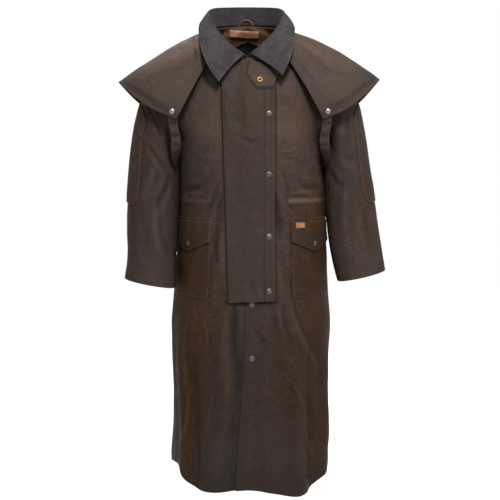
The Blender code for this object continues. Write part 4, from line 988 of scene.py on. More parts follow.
class Nodes:
    """A material's nodes, added one at a time, each with its sockets set to values or outputs."""

    def __init__(self, name):
        self.material = bpy.data.materials.new(name)
        self.material.use_nodes = True
        self.tree = self.material.node_tree
        self.shader = self.tree.nodes["Principled BSDF"]

    def add(self, kind, sockets=(), out=0, **settings):
        made = self.tree.nodes.new("ShaderNode" + kind)
        for key, value in settings.items():
            setattr(made, key, value)
        for key, value in dict(sockets).items():
            self.put(made.inputs[key], value)
        return made.outputs[out]

    def put(self, socket, value):
        if isinstance(value, bpy.types.NodeSocket):
            self.tree.links.new(value, socket)
        else:
            socket.default_value = value

    def math(self, operation, a, b=0.0, clamp=False):
        return self.add("Math", {0: a, 1: b}, operation=operation, use_clamp=clamp)

    def mix(self, share, a, b):
        return self.add("Mix", {0: share, 6: a, 7: b}, out=2, data_type="RGBA")

    def scaled(self, vector, scale):
        return self.add("VectorMath", {0: vector, 1: scale}, operation="MULTIPLY")

    def noise(self, vector, scale, detail=3.0, rough=0.55):
        sockets = {"Vector": vector, "Scale": scale, "Detail": detail, "Roughness": rough}
        return self.add("TexNoise", sockets, out="Fac")

    def cracks(self, vector, scale):
        """The distance from the edges of uneven cells."""
        sockets = {"Vector": vector, "Scale": scale}
        return self.add("TexVoronoi", sockets, out="Distance", feature="DISTANCE_TO_EDGE")

    def spread(self, value, low, high, to_low=0.0, to_high=1.0):
        sockets = {0: value, 1: low, 2: high, 3: to_low, 4: to_high}
        return self.add("MapRange", sockets, clamp=True)

    def bumps(self, *layers):
        """Bump nodes in a row: (height, distance, strength)."""
        normal = None
        for height, distance, strength in layers:
            sockets = {"Height": height, "Distance": distance, "Strength": strength}
            if normal is not None:
                sockets["Normal"] = normal
            normal = self.add("Bump", sockets)
        self.put(self.shader.inputs["Normal"], normal)

    def done(self, **values):
        for key, value in values.items():
            self.put(self.shader.inputs[key.replace("_", " ")], value)
        return self.material


def colour(red, green, blue):
    """A colour given in sRGB from 0 to 255."""
    parts = (red, green, blue)
    linear = [(c / 255 / 12.92) if c <= 10 else ((c / 255 + 0.055) / 1.055) ** 2.4 for c in parts]
    return (*linear, 1.0)


def weave_height(n, uv, pitch):
    """A plain weave's height over texture places in metres."""
    turn = 2 * math.pi / pitch
    u = n.add("SeparateXYZ", {0: uv}, out=0)
    v = n.add("SeparateXYZ", {0: uv}, out=1)
    across, along_it = (n.math("SINE", n.math("MULTIPLY", place, turn)) for place in (u, v))
    return n.math("MULTIPLY", across, along_it)


PALE = colour(74, 61, 53)


def oilskin(name, cool, warm, worn, dark, pale=PALE, roughness=(0.50, 0.74), sheen=0.0, shine_level=0.05):
    """Waxed cotton: mottled wax, rubbed ridges and edges, small crazing and a fine weave."""
    n = Nodes(name)
    place = n.add("TexCoord", out="Object")
    uv = n.add("UVMap", uv_map="cloth")
    ridge = n.add("Attribute", out="Fac", attribute_name="ridge")
    edge = n.add("Attribute", out="Fac", attribute_name="edge")
    warm_at = n.add("Attribute", out="Fac", attribute_name="warm")
    broad = n.noise(n.scaled(place, (1.0, 1.0, 0.6)), 7.0, 3.0, 0.5)
    blotch = n.noise(place, 34.0, 4.0, 0.6)
    fleck = n.noise(place, 260.0, 3.0, 0.7)
    mottled = n.math("ADD", n.math("MULTIPLY", broad, 0.65), n.math("MULTIPLY", blotch, 0.35))
    tone = n.spread(mottled, 0.40, 0.62)
    tone = n.math("ADD", n.math("MULTIPLY", tone, 0.45), warm_at, clamp=True)
    base = n.mix(tone, cool, warm)
    # Painted shade in the troughs of the creases
    deep = n.spread(ridge, -0.15, -0.9, 0.0, 0.55)
    base = n.mix(deep, base, dark)
    rubbed = n.math("MULTIPLY", n.spread(ridge, 0.10, 0.95), n.spread(blotch, 0.35, 0.62, 0.25, 1.0))
    worn_edge = n.spread(edge, 0.0024, 0.0, 0.0, 0.45)
    near_edge = n.math("MULTIPLY", worn_edge, n.spread(blotch, 0.38, 0.6, 0.2, 1.0))
    rubbed = n.math("MAXIMUM", n.math("MULTIPLY", rubbed, 0.24), near_edge)
    base = n.mix(rubbed, base, worn)
    drift = n.add("TexNoise", {"Vector": place, "Scale": 9.0}, out="Color")
    bent = n.add("VectorMath", {0: place, 1: n.scaled(drift, (0.06, 0.06, 0.06))}, operation="ADD")
    cells = n.cracks(n.scaled(bent, (1.0, 1.0, 0.7)), 30.0)
    crinkle = n.math("MULTIPLY", n.spread(cells, 0.07, 0.0), n.spread(n.noise(place, 13.0), 0.50, 0.66))
    craze = n.cracks(n.scaled(place, (1.0, 1.0, 0.8)), 70.0)
    crack = n.math("MULTIPLY", n.spread(craze, 0.05, 0.0), n.spread(broad, 0.45, 0.62, 0.0, 0.30))
    base = n.mix(crack, base, worn)
    base = n.mix(n.math("MULTIPLY", crinkle, 0.05), base, worn)
    base = n.mix(n.spread(fleck, 0.30, 0.70, 0.0, 0.32), base, dark)
    shade = n.add("Attribute", out="Fac", attribute_name="shade")
    base = n.mix(n.math("MAXIMUM", shade, 0.0), base, colour(7, 5, 4))
    base = n.mix(n.math("MULTIPLY", n.math("MINIMUM", shade, 0.0), -1.0), base, pale)
    weave = weave_height(n, uv, 0.0011)
    shine = n.spread(n.math("ADD", blotch, n.math("MULTIPLY", broad, 0.5)), 0.5, 1.0, *roughness)
    n.bumps(
        (n.noise(place, 42.0, 5.0, 0.55), 0.0034, 1.0), (crinkle, 0.0020, 0.60), (craze, 0.0012, 0.22),
        (fleck, 0.0005, 0.35), (weave, 0.00012, 0.5),
    )
    return n.done(
        Base_Color=base, Roughness=shine, Sheen_Weight=sheen, Sheen_Roughness=0.45, Sheen_Tint=warm,
        Specular_IOR_Level=shine_level,
    )


def collar_cloth():
    """Grey cotton with a fine rib and a soft nap."""
    n = Nodes("collar_cloth")
    place = n.add("TexCoord", out="Object")
    uv = n.add("UVMap", uv_map="cloth")
    edge = n.add("Attribute", out="Fac", attribute_name="edge")
    ridge = n.add("Attribute", out="Fac", attribute_name="ridge")
    v = n.add("SeparateXYZ", {0: uv}, out=0)
    rib = n.math("SINE", n.math("MULTIPLY", v, 2 * math.pi / 0.0019))
    blotch = n.noise(place, 26.0, 4.0, 0.6)
    fleck = n.noise(place, 420.0, 2.0, 0.7)
    grain = n.math("MULTIPLY", n.noise(place, 90.0, 4.0, 0.7), 0.4)
    mottled = n.math("ADD", n.math("MULTIPLY", blotch, 0.6), grain)
    base = n.mix(n.spread(mottled, 0.40, 0.60), colour(27, 25.5, 28.5), colour(42, 38, 39))
    base = n.mix(n.spread(rib, -0.2, -1.0, 0.0, 0.30), base, colour(25, 23, 25))
    base = n.mix(n.spread(fleck, 0.5, 0.8, 0.0, 0.30), base, colour(66, 60, 60))
    base = n.mix(n.spread(edge, 0.003, 0.0, 0.0, 0.35), base, colour(68, 60, 55))
    # Painted shade in the troughs of the creases
    base = n.mix(n.spread(ridge, -0.2, -0.9, 0.0, 0.35), base, colour(22, 20, 22))
    shade = n.add("Attribute", out="Fac", attribute_name="shade")
    base = n.mix(shade, base, colour(9, 9, 10))
    n.bumps((n.noise(place, 60.0, 4.0, 0.5), 0.0016, 0.6), (rib, 0.0003, 0.55), (fleck, 0.0004, 0.4))
    return n.done(
        Base_Color=base, Roughness=0.92, Sheen_Weight=0.02, Sheen_Roughness=0.5,
        Sheen_Tint=colour(150, 144, 150), Specular_IOR_Level=0.05,
    )


def leather(name, base_colour, dark, light):
    n = Nodes(name)
    place = n.add("TexCoord", out="Object")
    edge = n.add("Attribute", out="Fac", attribute_name="edge")
    blotch = n.noise(place, 60.0, 4.0, 0.6)
    grain = n.add("TexVoronoi", {"Vector": place, "Scale": 900.0}, out="Distance")
    base = n.mix(n.spread(blotch, 0.35, 0.65), base_colour, light)
    base = n.mix(n.spread(edge, 0.0022, 0.0, 0.0, 0.8), base, dark)
    base = n.mix(n.spread(grain, 0.5, 0.9, 0.0, 0.3), base, dark)
    n.bumps((grain, 0.0004, 0.4), (blotch, 0.0006, 0.4))
    return n.done(Base_Color=base, Roughness=n.spread(blotch, 0.3, 0.7, 0.45, 0.65), Specular_IOR_Level=0.4)


def metal(name, bright, dull, roughness=(0.28, 0.48)):
    """Worn plated metal: dull in its low places, bright where it is rubbed."""
    n = Nodes(name)
    place = n.add("TexCoord", out="Object")
    ridge = n.add("Attribute", out="Fac", attribute_name="ridge")
    blotch = n.noise(place, 420.0, 4.0, 0.6)
    scratch = n.noise(n.scaled(place, (1.0, 1.0, 6.0)), 900.0, 3.0, 0.7)
    base = n.mix(n.spread(blotch, 0.35, 0.62), bright, dull)
    base = n.mix(n.spread(ridge, -0.1, -0.9), base, colour(38, 32, 28))
    n.bumps((blotch, 0.0003, 0.4), (scratch, 0.0001, 0.5))
    return n.done(Base_Color=base, Metallic=1.0, Roughness=n.spread(scratch, 0.3, 0.7, *roughness))


def thread(name, light, dark):
    n = Nodes(name)
    place = n.add("TexCoord", out="Object")
    twist = n.noise(n.scaled(place, (1.0, 1.0, 0.5)), 2600.0, 2.0, 0.6)
    base = n.mix(n.spread(n.noise(place, 40.0), 0.35, 0.65), light, dark)
    n.bumps((twist, 0.0002, 0.5))
    return n.done(Base_Color=base, Roughness=0.72, Specular_IOR_Level=0.25)


def floor_look():
    n = Nodes("studio_floor")
    place = n.add("TexCoord", out="Object")
    base = n.mix(n.noise(place, 3.0), (0.93, 0.93, 0.93, 1), (0.95, 0.95, 0.95, 1))
    return n.done(Base_Color=base, Roughness=0.9, Specular_IOR_Level=0.1)


MATERIALS = {
    "oilskin": oilskin(
        "oilskin", colour(36.5, 32, 30), colour(37.5, 23.5, 12), colour(76, 57, 41), colour(15, 12, 10)
    ),
    # The same waxed cloth made near black for the inside faces: painted shade
    "oilskin_inside_painted_shade": oilskin(
        "oilskin_inside_painted_shade", colour(13, 11, 10.5), colour(15, 12, 10.5), colour(24, 19, 16), colour(8, 7, 6),
        roughness=(0.8, 0.95), shine_level=0.03,
    ),
    "facing": oilskin(
        "facing", colour(56, 41, 28), colour(66, 47, 30), colour(82, 61, 41), colour(30, 22, 15), sheen=0.04
    ),
    "collar_cloth": collar_cloth(),
    "neck_leather": leather("neck_leather", colour(80, 51, 33), colour(48, 30, 19), colour(96, 63, 42)),
    "flap_leather": leather("flap_leather", colour(94, 53, 16), colour(60, 34, 11), colour(110, 64, 22)),
    "steel": metal("steel", colour(94, 86, 82), colour(56, 50, 48), (0.38, 0.58)),
    # A lighter copy of steel for the snaps high on the cape: painted light
    "bright_steel": metal("bright_steel", colour(140, 135, 131), colour(88, 83, 80), (0.34, 0.52)),
    "brass": metal("brass", colour(132, 108, 58), colour(80, 64, 34), (0.36, 0.56)),
    # Near black metal for the socket's eye: painted shade
    "dark_hole": metal("dark_hole", colour(26, 23, 20), colour(14, 12, 11), (0.6, 0.8)),
    "thread": thread("thread", colour(46, 33, 23), colour(28, 21, 16)),
    "thread_light": thread("thread_light", colour(120, 90, 62), colour(92, 68, 46)),
    "thread_grey": thread("thread_grey", colour(58, 54, 57), colour(40, 38, 41)),
    "cord": thread("cord", colour(78, 60, 42), colour(50, 38, 27)),
    "floor": floor_look(),
}


# Fronts and back


def set_field(obj, name, values):
    data = obj.data.attributes.get(name) or obj.data.attributes.new(name, "FLOAT", "POINT")
    data.data.foreach_set("value", np.asarray(values, np.float32))


def points_of(obj):
    points = np.empty(len(obj.data.vertices) * 3)
    obj.data.vertices.foreach_get("co", points)
    return points.reshape(-1, 3)


def shade_grid(obj, values):
    """Shade from a value at each place of a cloth's grid, on both of its faces but not on its rim."""
    flat = values.reshape(-1)
    rim = np.zeros(len(obj.data.vertices) - 2 * len(flat))
    set_field(obj, "shade", np.concatenate([flat, flat, rim]))


def paint_shade(obj, lines, front=True):
    """Darker cloth along lines, or paler where the strength is negative: (x, z, x, z, reach, strength)."""
    points = points_of(obj)
    total = np.zeros(len(points))
    for x0, z0, x1, z1, reach, strength in lines:
        run_x, run_z = x1 - x0, z1 - z0
        t = ((points[:, 0] - x0) * run_x + (points[:, 2] - z0) * run_z) / (run_x**2 + run_z**2)
        t = np.clip(t, 0, 1)
        away = np.hypot(points[:, 0] - x0 - t * run_x, points[:, 2] - z0 - t * run_z)
        here = strength * np.exp(-((away / reach) ** 2))
        total = np.where(np.abs(here) > np.abs(total), here, total)
    set_field(obj, "shade", total * (points[:, 1] < 0 if front else 1))


def paint_warmth_and_sheen(obj, places):
    """Warmer cloth in zones, partly the wax's own tone and partly a painted warm sheen on sides and tops:
    places lists (x, z, reach in x, reach in z, strength).
    """
    points = points_of(obj)
    total = np.zeros(len(points))
    for x, z, reach_x, reach_z, strength in places:
        aside, away = (points[:, 0] - x) / reach_x, (points[:, 2] - z) / reach_z
        total += strength * np.exp(-(aside**2) - away**2)
    set_field(obj, "warm", total)


# Warm zones of the body: the wax's own tone, and a painted warm sheen on the skirt's sides
BODY_WARMTH_AND_SHEEN = [
    (-0.150, -0.650, 0.050, 0.10, 0.45),
    (0.150, -0.650, 0.050, 0.10, 0.50),
    (-0.19, -0.95, 0.065, 0.30, 0.95),
    (0.19, -0.95, 0.060, 0.32, 0.95),
    (-0.10, -0.95, 0.050, 0.16, 0.40),
    (0.09, -0.98, 0.040, 0.14, 0.25),
    (-0.17, -0.62, 0.05, 0.14, 0.30),
    (0.16, -0.52, 0.06, 0.06, 0.45),
    (-0.15, -0.47, 0.06, 0.04, 0.25),
    (0.02, -0.20, 0.10, 0.10, 0.35),
    (0.12, -0.22, 0.05, 0.10, 0.30),
    (0.06, -0.86, 0.06, 0.08, 0.20),
    (-0.16, -1.10, 0.04, 0.10, 0.30),
]
COLLAR_SHADE = [
    (-0.004, -0.112, -0.010, -0.145, 0.0036, 0.80),
    (-0.010, -0.145, 0.016, -0.183, 0.0036, 0.85),
    (0.016, -0.184, 0.062, -0.183, 0.0040, 0.85),
    (0.063, -0.182, 0.076, -0.152, 0.004, 0.60),
    (-0.110, -0.110, -0.083, -0.172, 0.006, 0.65),
    (-0.083, -0.172, -0.034, -0.117, 0.006, 0.60),
    (0.087, -0.156, 0.024, -0.108, 0.006, 0.60),
    (0.120, -0.110, 0.089, -0.155, 0.007, 0.60),
]
SEAM_SHADE = [(-0.0795, -0.114, -0.0595, -0.752, 0.0026, 0.75)]
BODY_SHADE = COLLAR_SHADE + SEAM_SHADE + [
    (-0.060, -0.757, 0.066, -0.754, 0.010, 0.85),
    (0.068, -0.130, 0.068, -0.750, 0.004, 0.60),
    (-0.135, -0.150, -0.190, -0.262, 0.008, 0.70),
    (0.135, -0.150, 0.190, -0.262, 0.008, 0.70),
    (-0.100, -0.270, 0.100, -0.270, 0.100, -0.14),
    (-0.037, -0.775, -0.050, -1.270, 0.003, 0.45),
    (-0.210, -1.010, 0.210, -1.010, 0.220, 0.26),
    (-0.210, -1.260, 0.210, -1.260, 0.100, 0.38),
    (0.111, -0.545, 0.113, -0.745, 0.0035, 0.60),
    (-0.113, -0.560, -0.112, -0.745, 0.0035, 0.45),
    (0.108, -0.487, 0.190, -0.487, 0.006, -0.45),
    (-0.108, -0.487, -0.185, -0.487, 0.005, -0.15),
]
POCKET_SHADE = [(-0.20, -0.66, 0.20, -0.66, 0.30, 0.20)]
FRONTS = {}


def overlap_x(row):
    return OVERLAP_TOP_X + (OVERLAP_LOW_X - OVERLAP_TOP_X) * ease((0.50 - row) / 0.50)


def overlap_height(row, x):
    lift = LAYER * ease((FLAP_FREE_X - x) / LIFT_RUN)
    return lift + HEM_LIFT * ease((0.34 - row) / 0.34) * ease((UNDERLAP_X - x) / 0.06)


def body_rows():
    """Rows of the body panels, close together at the hem, and one at each neck row."""
    low = 1.0 - slots_of(SKIRT_LENGTH, edge_low=False, edge_high=True, cell=0.0052)[::-1]
    low = np.concatenate([[0.0], low[1:]]) if low[0] > 0 else low
    high = np.linspace(1, FRONT_NECK_ROW, 42)[1:]
    top = np.linspace(FRONT_NECK_ROW, BACK_NECK_ROW, 10)[1:]
    return np.concatenate([low, high, top, np.linspace(BACK_NECK_ROW, 2.0, 22)[1:]])


def ease_armpit(points, rows, s):
    """Soften the turn from the lower to the upper body, but not at the side seams."""
    share = (ease((rows - 0.88) / 0.10) * ease((1.20 - rows) / 0.12))[:, None]
    share = share * ease((0.96 - np.abs(s)) / 0.30)
    for _ in range(40):
        middle = points.copy()
        middle[1:-1] = (points[:-2] + 2 * points[1:-1] + points[2:]) / 4
        points = points + (middle - points) * share[..., None]
    return points


def build_front(name, side):
    rows = body_rows()
    shares = np.concatenate([np.linspace(0, 0.94, 84), np.linspace(0.94, 1.0, 12)[1:]])
    laps = np.linspace(1.0, 0.0, 13)[:-1]
    low = np.minimum(rows, FRONT_NECK_ROW)
    lap_x = overlap_x(low) if side > 0 else np.full(len(rows), UNDERLAP_X)
    _, lap_s = front_rows(lap_x, body_point(-1, low, 0.0)[..., 2])
    beside = side * np.maximum(shares, 1e-6)[None, :] + 0 * lap_s[:, None]
    s = np.concatenate([laps[None, :] * lap_s[:, None], beside], 1)
    in_lap = np.arange(s.shape[1])[None, :] < len(laps)
    row = np.where(in_lap, low[:, None], rows[:, None])
    points, normals = ease_armpit(body_point(-1, row, s), rows, s), body_normal(-1, row, s)
    if side > 0:
        points = points + normals * overlap_height(row, points[..., 0])[..., None]
    neck = int(np.argmin(np.abs(rows - FRONT_NECK_ROW)))
    kept = np.ones((len(rows) - 1, s.shape[1] - 1), bool)
    kept[neck:, : len(laps)] = False
    relief = body_relief(-1, points)
    relief *= np.where(np.abs(s) > 0.94, ease((1.0 - np.abs(s)) / 0.06), 1.0)
    relief *= ease((2.0 - row) / 0.08) * (1 - 0.9 * ease((row - 1.55) / 0.12))
    if side < 0:
        relief -= 0.0009 * ease((points[..., 0] + 0.062) / 0.02)
    edge = np.minimum(row * SKIRT_LENGTH, EDGE_REACH)
    obj, outer = cloth(f"front_{name}", points, normals, kept=kept, relief=relief, edge=edge)
    paint_warmth_and_sheen(obj, BODY_WARMTH_AND_SHEEN)
    paint_shade(obj, BODY_SHADE)
    runs = []
    hem = int(np.argmin(np.abs(rows * SKIRT_LENGTH - HEM_STITCH)))
    runs.append((outer[hem], normals[hem]))
    if side > 0:
        below = rows < FLAP_LOW_ROW
        for offset in (0.0045, 0.030):
            run = lap_run(outer, normals, rows[below], offset)
            runs.append(run)
    for z in (CHANNEL_Z - CHANNEL_HALF, CHANNEL_Z + CHANNEL_HALF):
        runs.append(level_run(outer, normals, z, len(laps), lambda p: abs(p[0]) > CHANNEL_FROM))
    sew(f"front_{name}", runs)
    FRONTS[name] = obj


def lap_run(outer, normals, rows, offset):
    """A run at an offset inside the left front's free edge."""
    spots, ups = [], []
    for i in range(len(rows)):
        line = outer[i]
        at = np.concatenate([[0], np.cumsum(np.linalg.norm(np.diff(line[:40], axis=0), axis=1))])
        spots.append([np.interp(offset, at, line[:40, c]) for c in range(3)])
        ups.append([np.interp(offset, at, normals[i, :40, c]) for c in range(3)])
    return np.array(spots), np.array(ups)


def level_run(outer, normals, z, first, keep):
    """A run along a height of a panel."""
    spots, ups = [], []
    for j in range(first, outer.shape[1]):
        column = outer[:, j]
        k = int(np.searchsorted(column[:, 2], z)) - 1
        k = min(max(k, 0), len(column) - 2)
        t = (z - column[k, 2]) / max(column[k + 1, 2] - column[k, 2], 1e-9)
        point = column[k] * (1 - t) + column[k + 1] * t
        if keep(point):
            spots.append(point)
            ups.append(normals[k, j] * (1 - t) + normals[k + 1, j] * t)
    return np.array(spots), np.array(ups)


def back_weld(seam, neck):
    def weld(index):
        index = index.copy()
        index[: neck + 1, seam + 1] = index[: neck + 1, seam]
        return index

    return weld


def build_back():
    rows = body_rows()
    shares = np.concatenate([np.linspace(0, 0.95, 84), np.linspace(0.95, 1.0, 8)[1:]])
    s = np.concatenate([-shares[::-1], shares])
    seam = len(shares) - 1
    s[seam], s[seam + 1] = -1e-6, 1e-6
    row, s = np.meshgrid(rows, s, indexing="ij")
    points, normals = ease_armpit(body_point(1, row, s), rows, s), body_normal(1, row, s)
    neck = int(np.argmin(np.abs(rows - BACK_NECK_ROW)))
    kept = np.ones((len(rows) - 1, s.shape[1] - 1), bool)
    kept[:, seam] = False
    relief = body_relief(1, points)
    relief *= np.where(np.abs(s) > 0.95, ease((1.0 - np.abs(s)) / 0.05), 1.0)
    relief *= ease((2.0 - row) / 0.08)
    relief *= 1 - 0.9 * ease((row - 1.5) / 0.12) * ease((0.62 - np.abs(s)) / 0.1)
    edge = np.minimum(row * SKIRT_LENGTH, EDGE_REACH)
    obj, outer = cloth(
        "back", points, normals, kept=kept, weld=back_weld(seam, neck), relief=relief, edge=edge
    )
    paint_warmth_and_sheen(obj, BODY_WARMTH_AND_SHEEN)
    hem = int(np.argmin(np.abs(rows * SKIRT_LENGTH - HEM_STITCH)))
    columns = [j for j in range(s.shape[1]) if j != seam]
    runs = [(outer[hem, columns], normals[hem, columns])]
    for z in (CHANNEL_Z - CHANNEL_HALF, CHANNEL_Z + CHANNEL_HALF):
        runs.append(level_run(outer[:, columns], normals[:, columns], z, 0, lambda p: True))
    sew("back", runs)


def build_facing():
    """The facing inside the back neck, its bare leather patch, and the cord loop."""
    above = np.linspace(BACK_NECK_ROW, 1.95, 14)[1:]
    rows = np.concatenate([np.linspace(FACING_ROW, BACK_NECK_ROW, 14), above])
    shares = np.linspace(0, 7 / 15, 44)
    s = np.concatenate([-shares[::-1], shares])
    seam = len(shares) - 1
    s[seam], s[seam + 1] = -1e-6, 1e-6
    row, s = np.meshgrid(rows, s, indexing="ij")
    normals = body_normal(1, row, s)
    points = body_point(1, row, s) - normals * LAYER
    neck = int(np.argmin(np.abs(rows - BACK_NECK_ROW)))
    kept = np.ones((len(rows) - 1, s.shape[1] - 1), bool)
    kept[:, seam] = False
    relief = -np.abs(rumple(points, [(0.05, 0.0006, 1.0)], 5))
    obj, outer = cloth(
        "neck_facing", points, normals, kept=kept, weld=back_weld(seam, neck), relief=relief,
        looks=("facing",)
    )
    inner = outer - normals * CLOTH
    columns = [j for j in range(s.shape[1]) if j != seam]
    sew("neck_facing", [(inner[1][columns], -normals[1][columns])], look="thread_light")
    tree = tree_of(obj)
    across, up = np.linspace(0, 1, 30), np.linspace(0, 1, 9)
    x = LABEL_X + LABEL_WIDTH * (across[None, :] - 0.5) + 0 * up[:, None]
    z = LABEL_Z + LABEL_HEIGHT * (up[:, None] - 0.5) - LABEL_TILT * (across[None, :] - 0.5)
    y = cast(tree, x, z, 0.0)
    y = np.where(np.isnan(y), np.nanmax(y), y)
    y = foremost(y, 2, 6) - LAY_GAP * 0.6
    patch("neck_label", xyz(x, y, z), up, across, LABEL_HEIGHT, LABEL_WIDTH,
          LABEL_CLOTH, looks=("neck_leather",))
    build_loop()


def build_loop():
    """A twisted cord loop: three strands wound round one path."""
    count = 90
    t = np.linspace(0, math.pi, count)
    x = LOOP_X - LOOP_HALF_WIDTH * np.cos(t)
    z = LOOP_Z + LOOP_HEIGHT * np.sin(t)
    path = xyz(x, LOOP_Y + 0.3 * (z - LOOP_Z), z)
    ahead = unit(np.gradient(path, axis=0))
    side = unit(np.cross(ahead, (0.0, 1.0, 0.0)))
    other = np.cross(ahead, side)
    points, faces = [], []
    for strand in range(3):
        turn = np.linspace(0, 2 * math.pi * 9, count) + strand * 2 * math.pi / 3
        middle = path + (side * np.cos(turn)[:, None] + other * np.sin(turn)[:, None]) * LOOP_RADIUS * 0.48
        base = len(points) * count * 8
        rings = []
        for k in range(8):
            a = 2 * math.pi * k / 8
            rings.append(middle + (side * math.cos(a) + other * math.sin(a)) * LOOP_RADIUS * 0.52)
        points.append(np.stack(rings, 1).reshape(-1, 3))
        for i in range(count - 1):
            for k in range(8):
                a, b = base + i * 8 + k, base + i * 8 + (k + 1) % 8
                faces.append((a, b, b + 8, a + 8))
        faces.append(tuple(base + k for k in range(8)))
        faces.append(tuple(base + (count - 1) * 8 + k for k in reversed(range(8))))
    obj = new_mesh("coat_hang_loop", np.concatenate(points), faces)
    obj.data.materials.append(MATERIALS["cord"])
    finish_piece(obj, "hang_loop")


# Pieces laid on the fronts


def tree_of(*objects):
    """One search tree of several meshes."""
    points, faces = [], []
    for obj in objects:
        base = len(points)
        points += [tuple(v.co) for v in obj.data.vertices]
        faces += [tuple(base + v for v in p.vertices) for p in obj.data.polygons]
    return BVHTree.FromPolygons(points, faces)


def cast(tree, x, z, start=-0.4):
    """The Y of the first cloth behind each X and Z, looking back from a Y."""
    found = np.empty(x.shape)
    for place in np.ndindex(x.shape):
        hit = tree.ray_cast(Vector((x[place], start, z[place])), Vector((0, 1, 0)), 1.0)
        found[place] = hit[0].y if hit[0] else np.nan
    return found


def foremost(y, reach, soft):
    """The foremost value around each place of a grid, then softened."""
    best = y.copy()
    for _ in range(reach):
        padded = np.pad(best, 1, mode="edge")
        shifts = [(a, b) for a in range(3) for b in range(3)]
        best = np.minimum.reduce([padded[a : a + y.shape[0], b : b + y.shape[1]] for a, b in shifts])
    return soften(best, soft)


def patch(
    node, points, rows, columns, height, width, thick=CLOTH, sides="nsew",
    outward=(0, -1, 0), looks=("oilskin", "oilskin_inside_painted_shade"), extra=None, probe=0.5,
):
    """A sewn-on piece: its edges are folded and grooved by the stitches."""
    normals = grid_normals(points)
    middle = normals[int(len(rows) * probe), len(columns) // 2]
    if np.dot(middle, outward) < 0:
        normals = -normals
    relief, near = edge_relief(rows, columns, height, width, sides)
    relief = relief * (thick / CLOTH)
    if extra is not None:
        relief = relief + extra
    edge = np.minimum(near, EDGE_REACH)
    obj, outer = cloth(node, points, normals, thick=thick, relief=relief, edge=edge, looks=looks)
    return obj, outer, normals


def side_point(s, z):
    """A point of a front below the armpit at a share round it and a height, and its normal."""
    place = lambda s, z: torso_point(s * read(SIDE_SEAM, "angle", z), z)
    here = place(s, z)
    around, up = place(s + 0.004, z) - place(s - 0.004, z), place(s, z + 0.002) - place(s, z - 0.002)
    return here, unit(np.cross(around, up))


def over_front(s, z, height):
    """Over a front's own creases, at a height."""
    here, normal = side_point(s, z)
    relief = crease_height(FRONT_CREASES, here[..., 0] * 1000, here[..., 2] * 1000)
    relief = relief + rumple(here, BODY_RUMPLE, 1)
    return here + normal * (height + relief[..., None]), normal


def build_pocket(name, side):
    low, high = POCKET_FIRST_COLUMN / PANEL_COLUMNS, POCKET_LAST_COLUMN / PANEL_COLUMNS
    width = 0.165
    across = slots_of(width)
    s = side * (low + (high - low) * across)
    height = 0.215
    down = slots_of(height)
    low_z = POCKET_LOW_FRONT_Z + (POCKET_LOW_BACK_Z - POCKET_LOW_FRONT_Z) * across
    z = POCKET_TOP_Z + (low_z[None, :] - POCKET_TOP_Z) * down[:, None]
    s2 = s[None, :] + 0 * z
    points, _ = over_front(s2, z, LAYER)
    sag = 0.0028 * np.sin(np.pi * across)[None, :] ** 0.7
    sag = sag * np.sin(np.pi * np.clip(down, 0, 1))[:, None] ** 0.8
    a, b = across[None, :] * width * 1000 + 0 * z, down[:, None] * height * 1000 + 0 * z
    extra = sag + crease_height(POCKET_CREASES[name], a, b)
    obj, outer, normals = patch(
        f"pocket_{name}", points, down, across, height, width,
        outward=(side * 0.5, -1, 0), extra=extra
    )
    paint_warmth_and_sheen(obj, BODY_WARMTH_AND_SHEEN)
    rise = POCKET_FLAP_SIDE_Z - POCKET_FLAP_POINT_Z
    point_z = POCKET_FLAP_POINT_Z + rise * np.abs(across - 0.5)[None, :] * 2
    below_flap = 0.85 * np.exp(-(((z - point_z + 0.002) / 0.0045) ** 2))
    shade_grid(obj, np.maximum(0.20, below_flap))
    runs = border_runs(outer, normals, down, across, height, width, sides="sew")
    runs += border_runs(outer, normals, down, across, height, width, offset=0.0022, sides="sew")
    sew(f"pocket_{name}", runs)
    build_pocket_flap(name, side, s, across, width)


def build_pocket_flap(name, side, s, across, width):
    height = 0.068
    down = slots_of(height)
    middle = np.abs(across - 0.5) * 2
    low_z = POCKET_FLAP_POINT_Z + (POCKET_FLAP_SIDE_Z - POCKET_FLAP_POINT_Z) * middle
    z = POCKET_FLAP_TOP_Z + (low_z[None, :] - POCKET_FLAP_TOP_Z) * down[:, None]
    points, _ = over_front(s[None, :] + 0 * z, z, 2 * LAYER)
    puff = 0.0022 * np.sin(np.pi * across)[None, :] ** 0.6
    puff = puff * np.sin(np.pi * np.clip(down * 0.9, 0, 1))[:, None]
    lift = 0.0022 * ease((down[:, None] - 0.5) / 0.5) * (0.4 + 0.6 * middle[None, :])
    obj, outer, normals = patch(
        f"pocket_flap_{name}", points, down, across, height, width,
        outward=(side * 0.5, -1, 0), extra=puff + lift
    )
    paint_warmth_and_sheen(obj, BODY_WARMTH_AND_SHEEN)
    paint_shade(obj, POCKET_SHADE)
    sew(f"pocket_flap_{name}", border_runs(outer, normals, down, across, height, width))
    tree = tree_of(obj)
    spot, _ = side_point(np.array([side * 9 / PANEL_COLUMNS]), np.array([POCKET_SNAP_Z]))
    place, normal = on_tree(tree, spot[0], (side * 0.5, -1, 0))
    snap(f"pocket_snap_{name}", place, normal)
    if side > 0:
        build_flap_label(tree)


def on_tree(tree, spot, outward):
    """The nearest place on a piece from outside it, and the way it faces."""
    out = Vector(outward).normalized()
    hit = tree.ray_cast(Vector(spot) + out * 0.05, -out, 0.2)
    normal = hit[1] if hit[1].dot(out) > 0 else -hit[1]
    return np.array(hit[0]), np.array(normal)


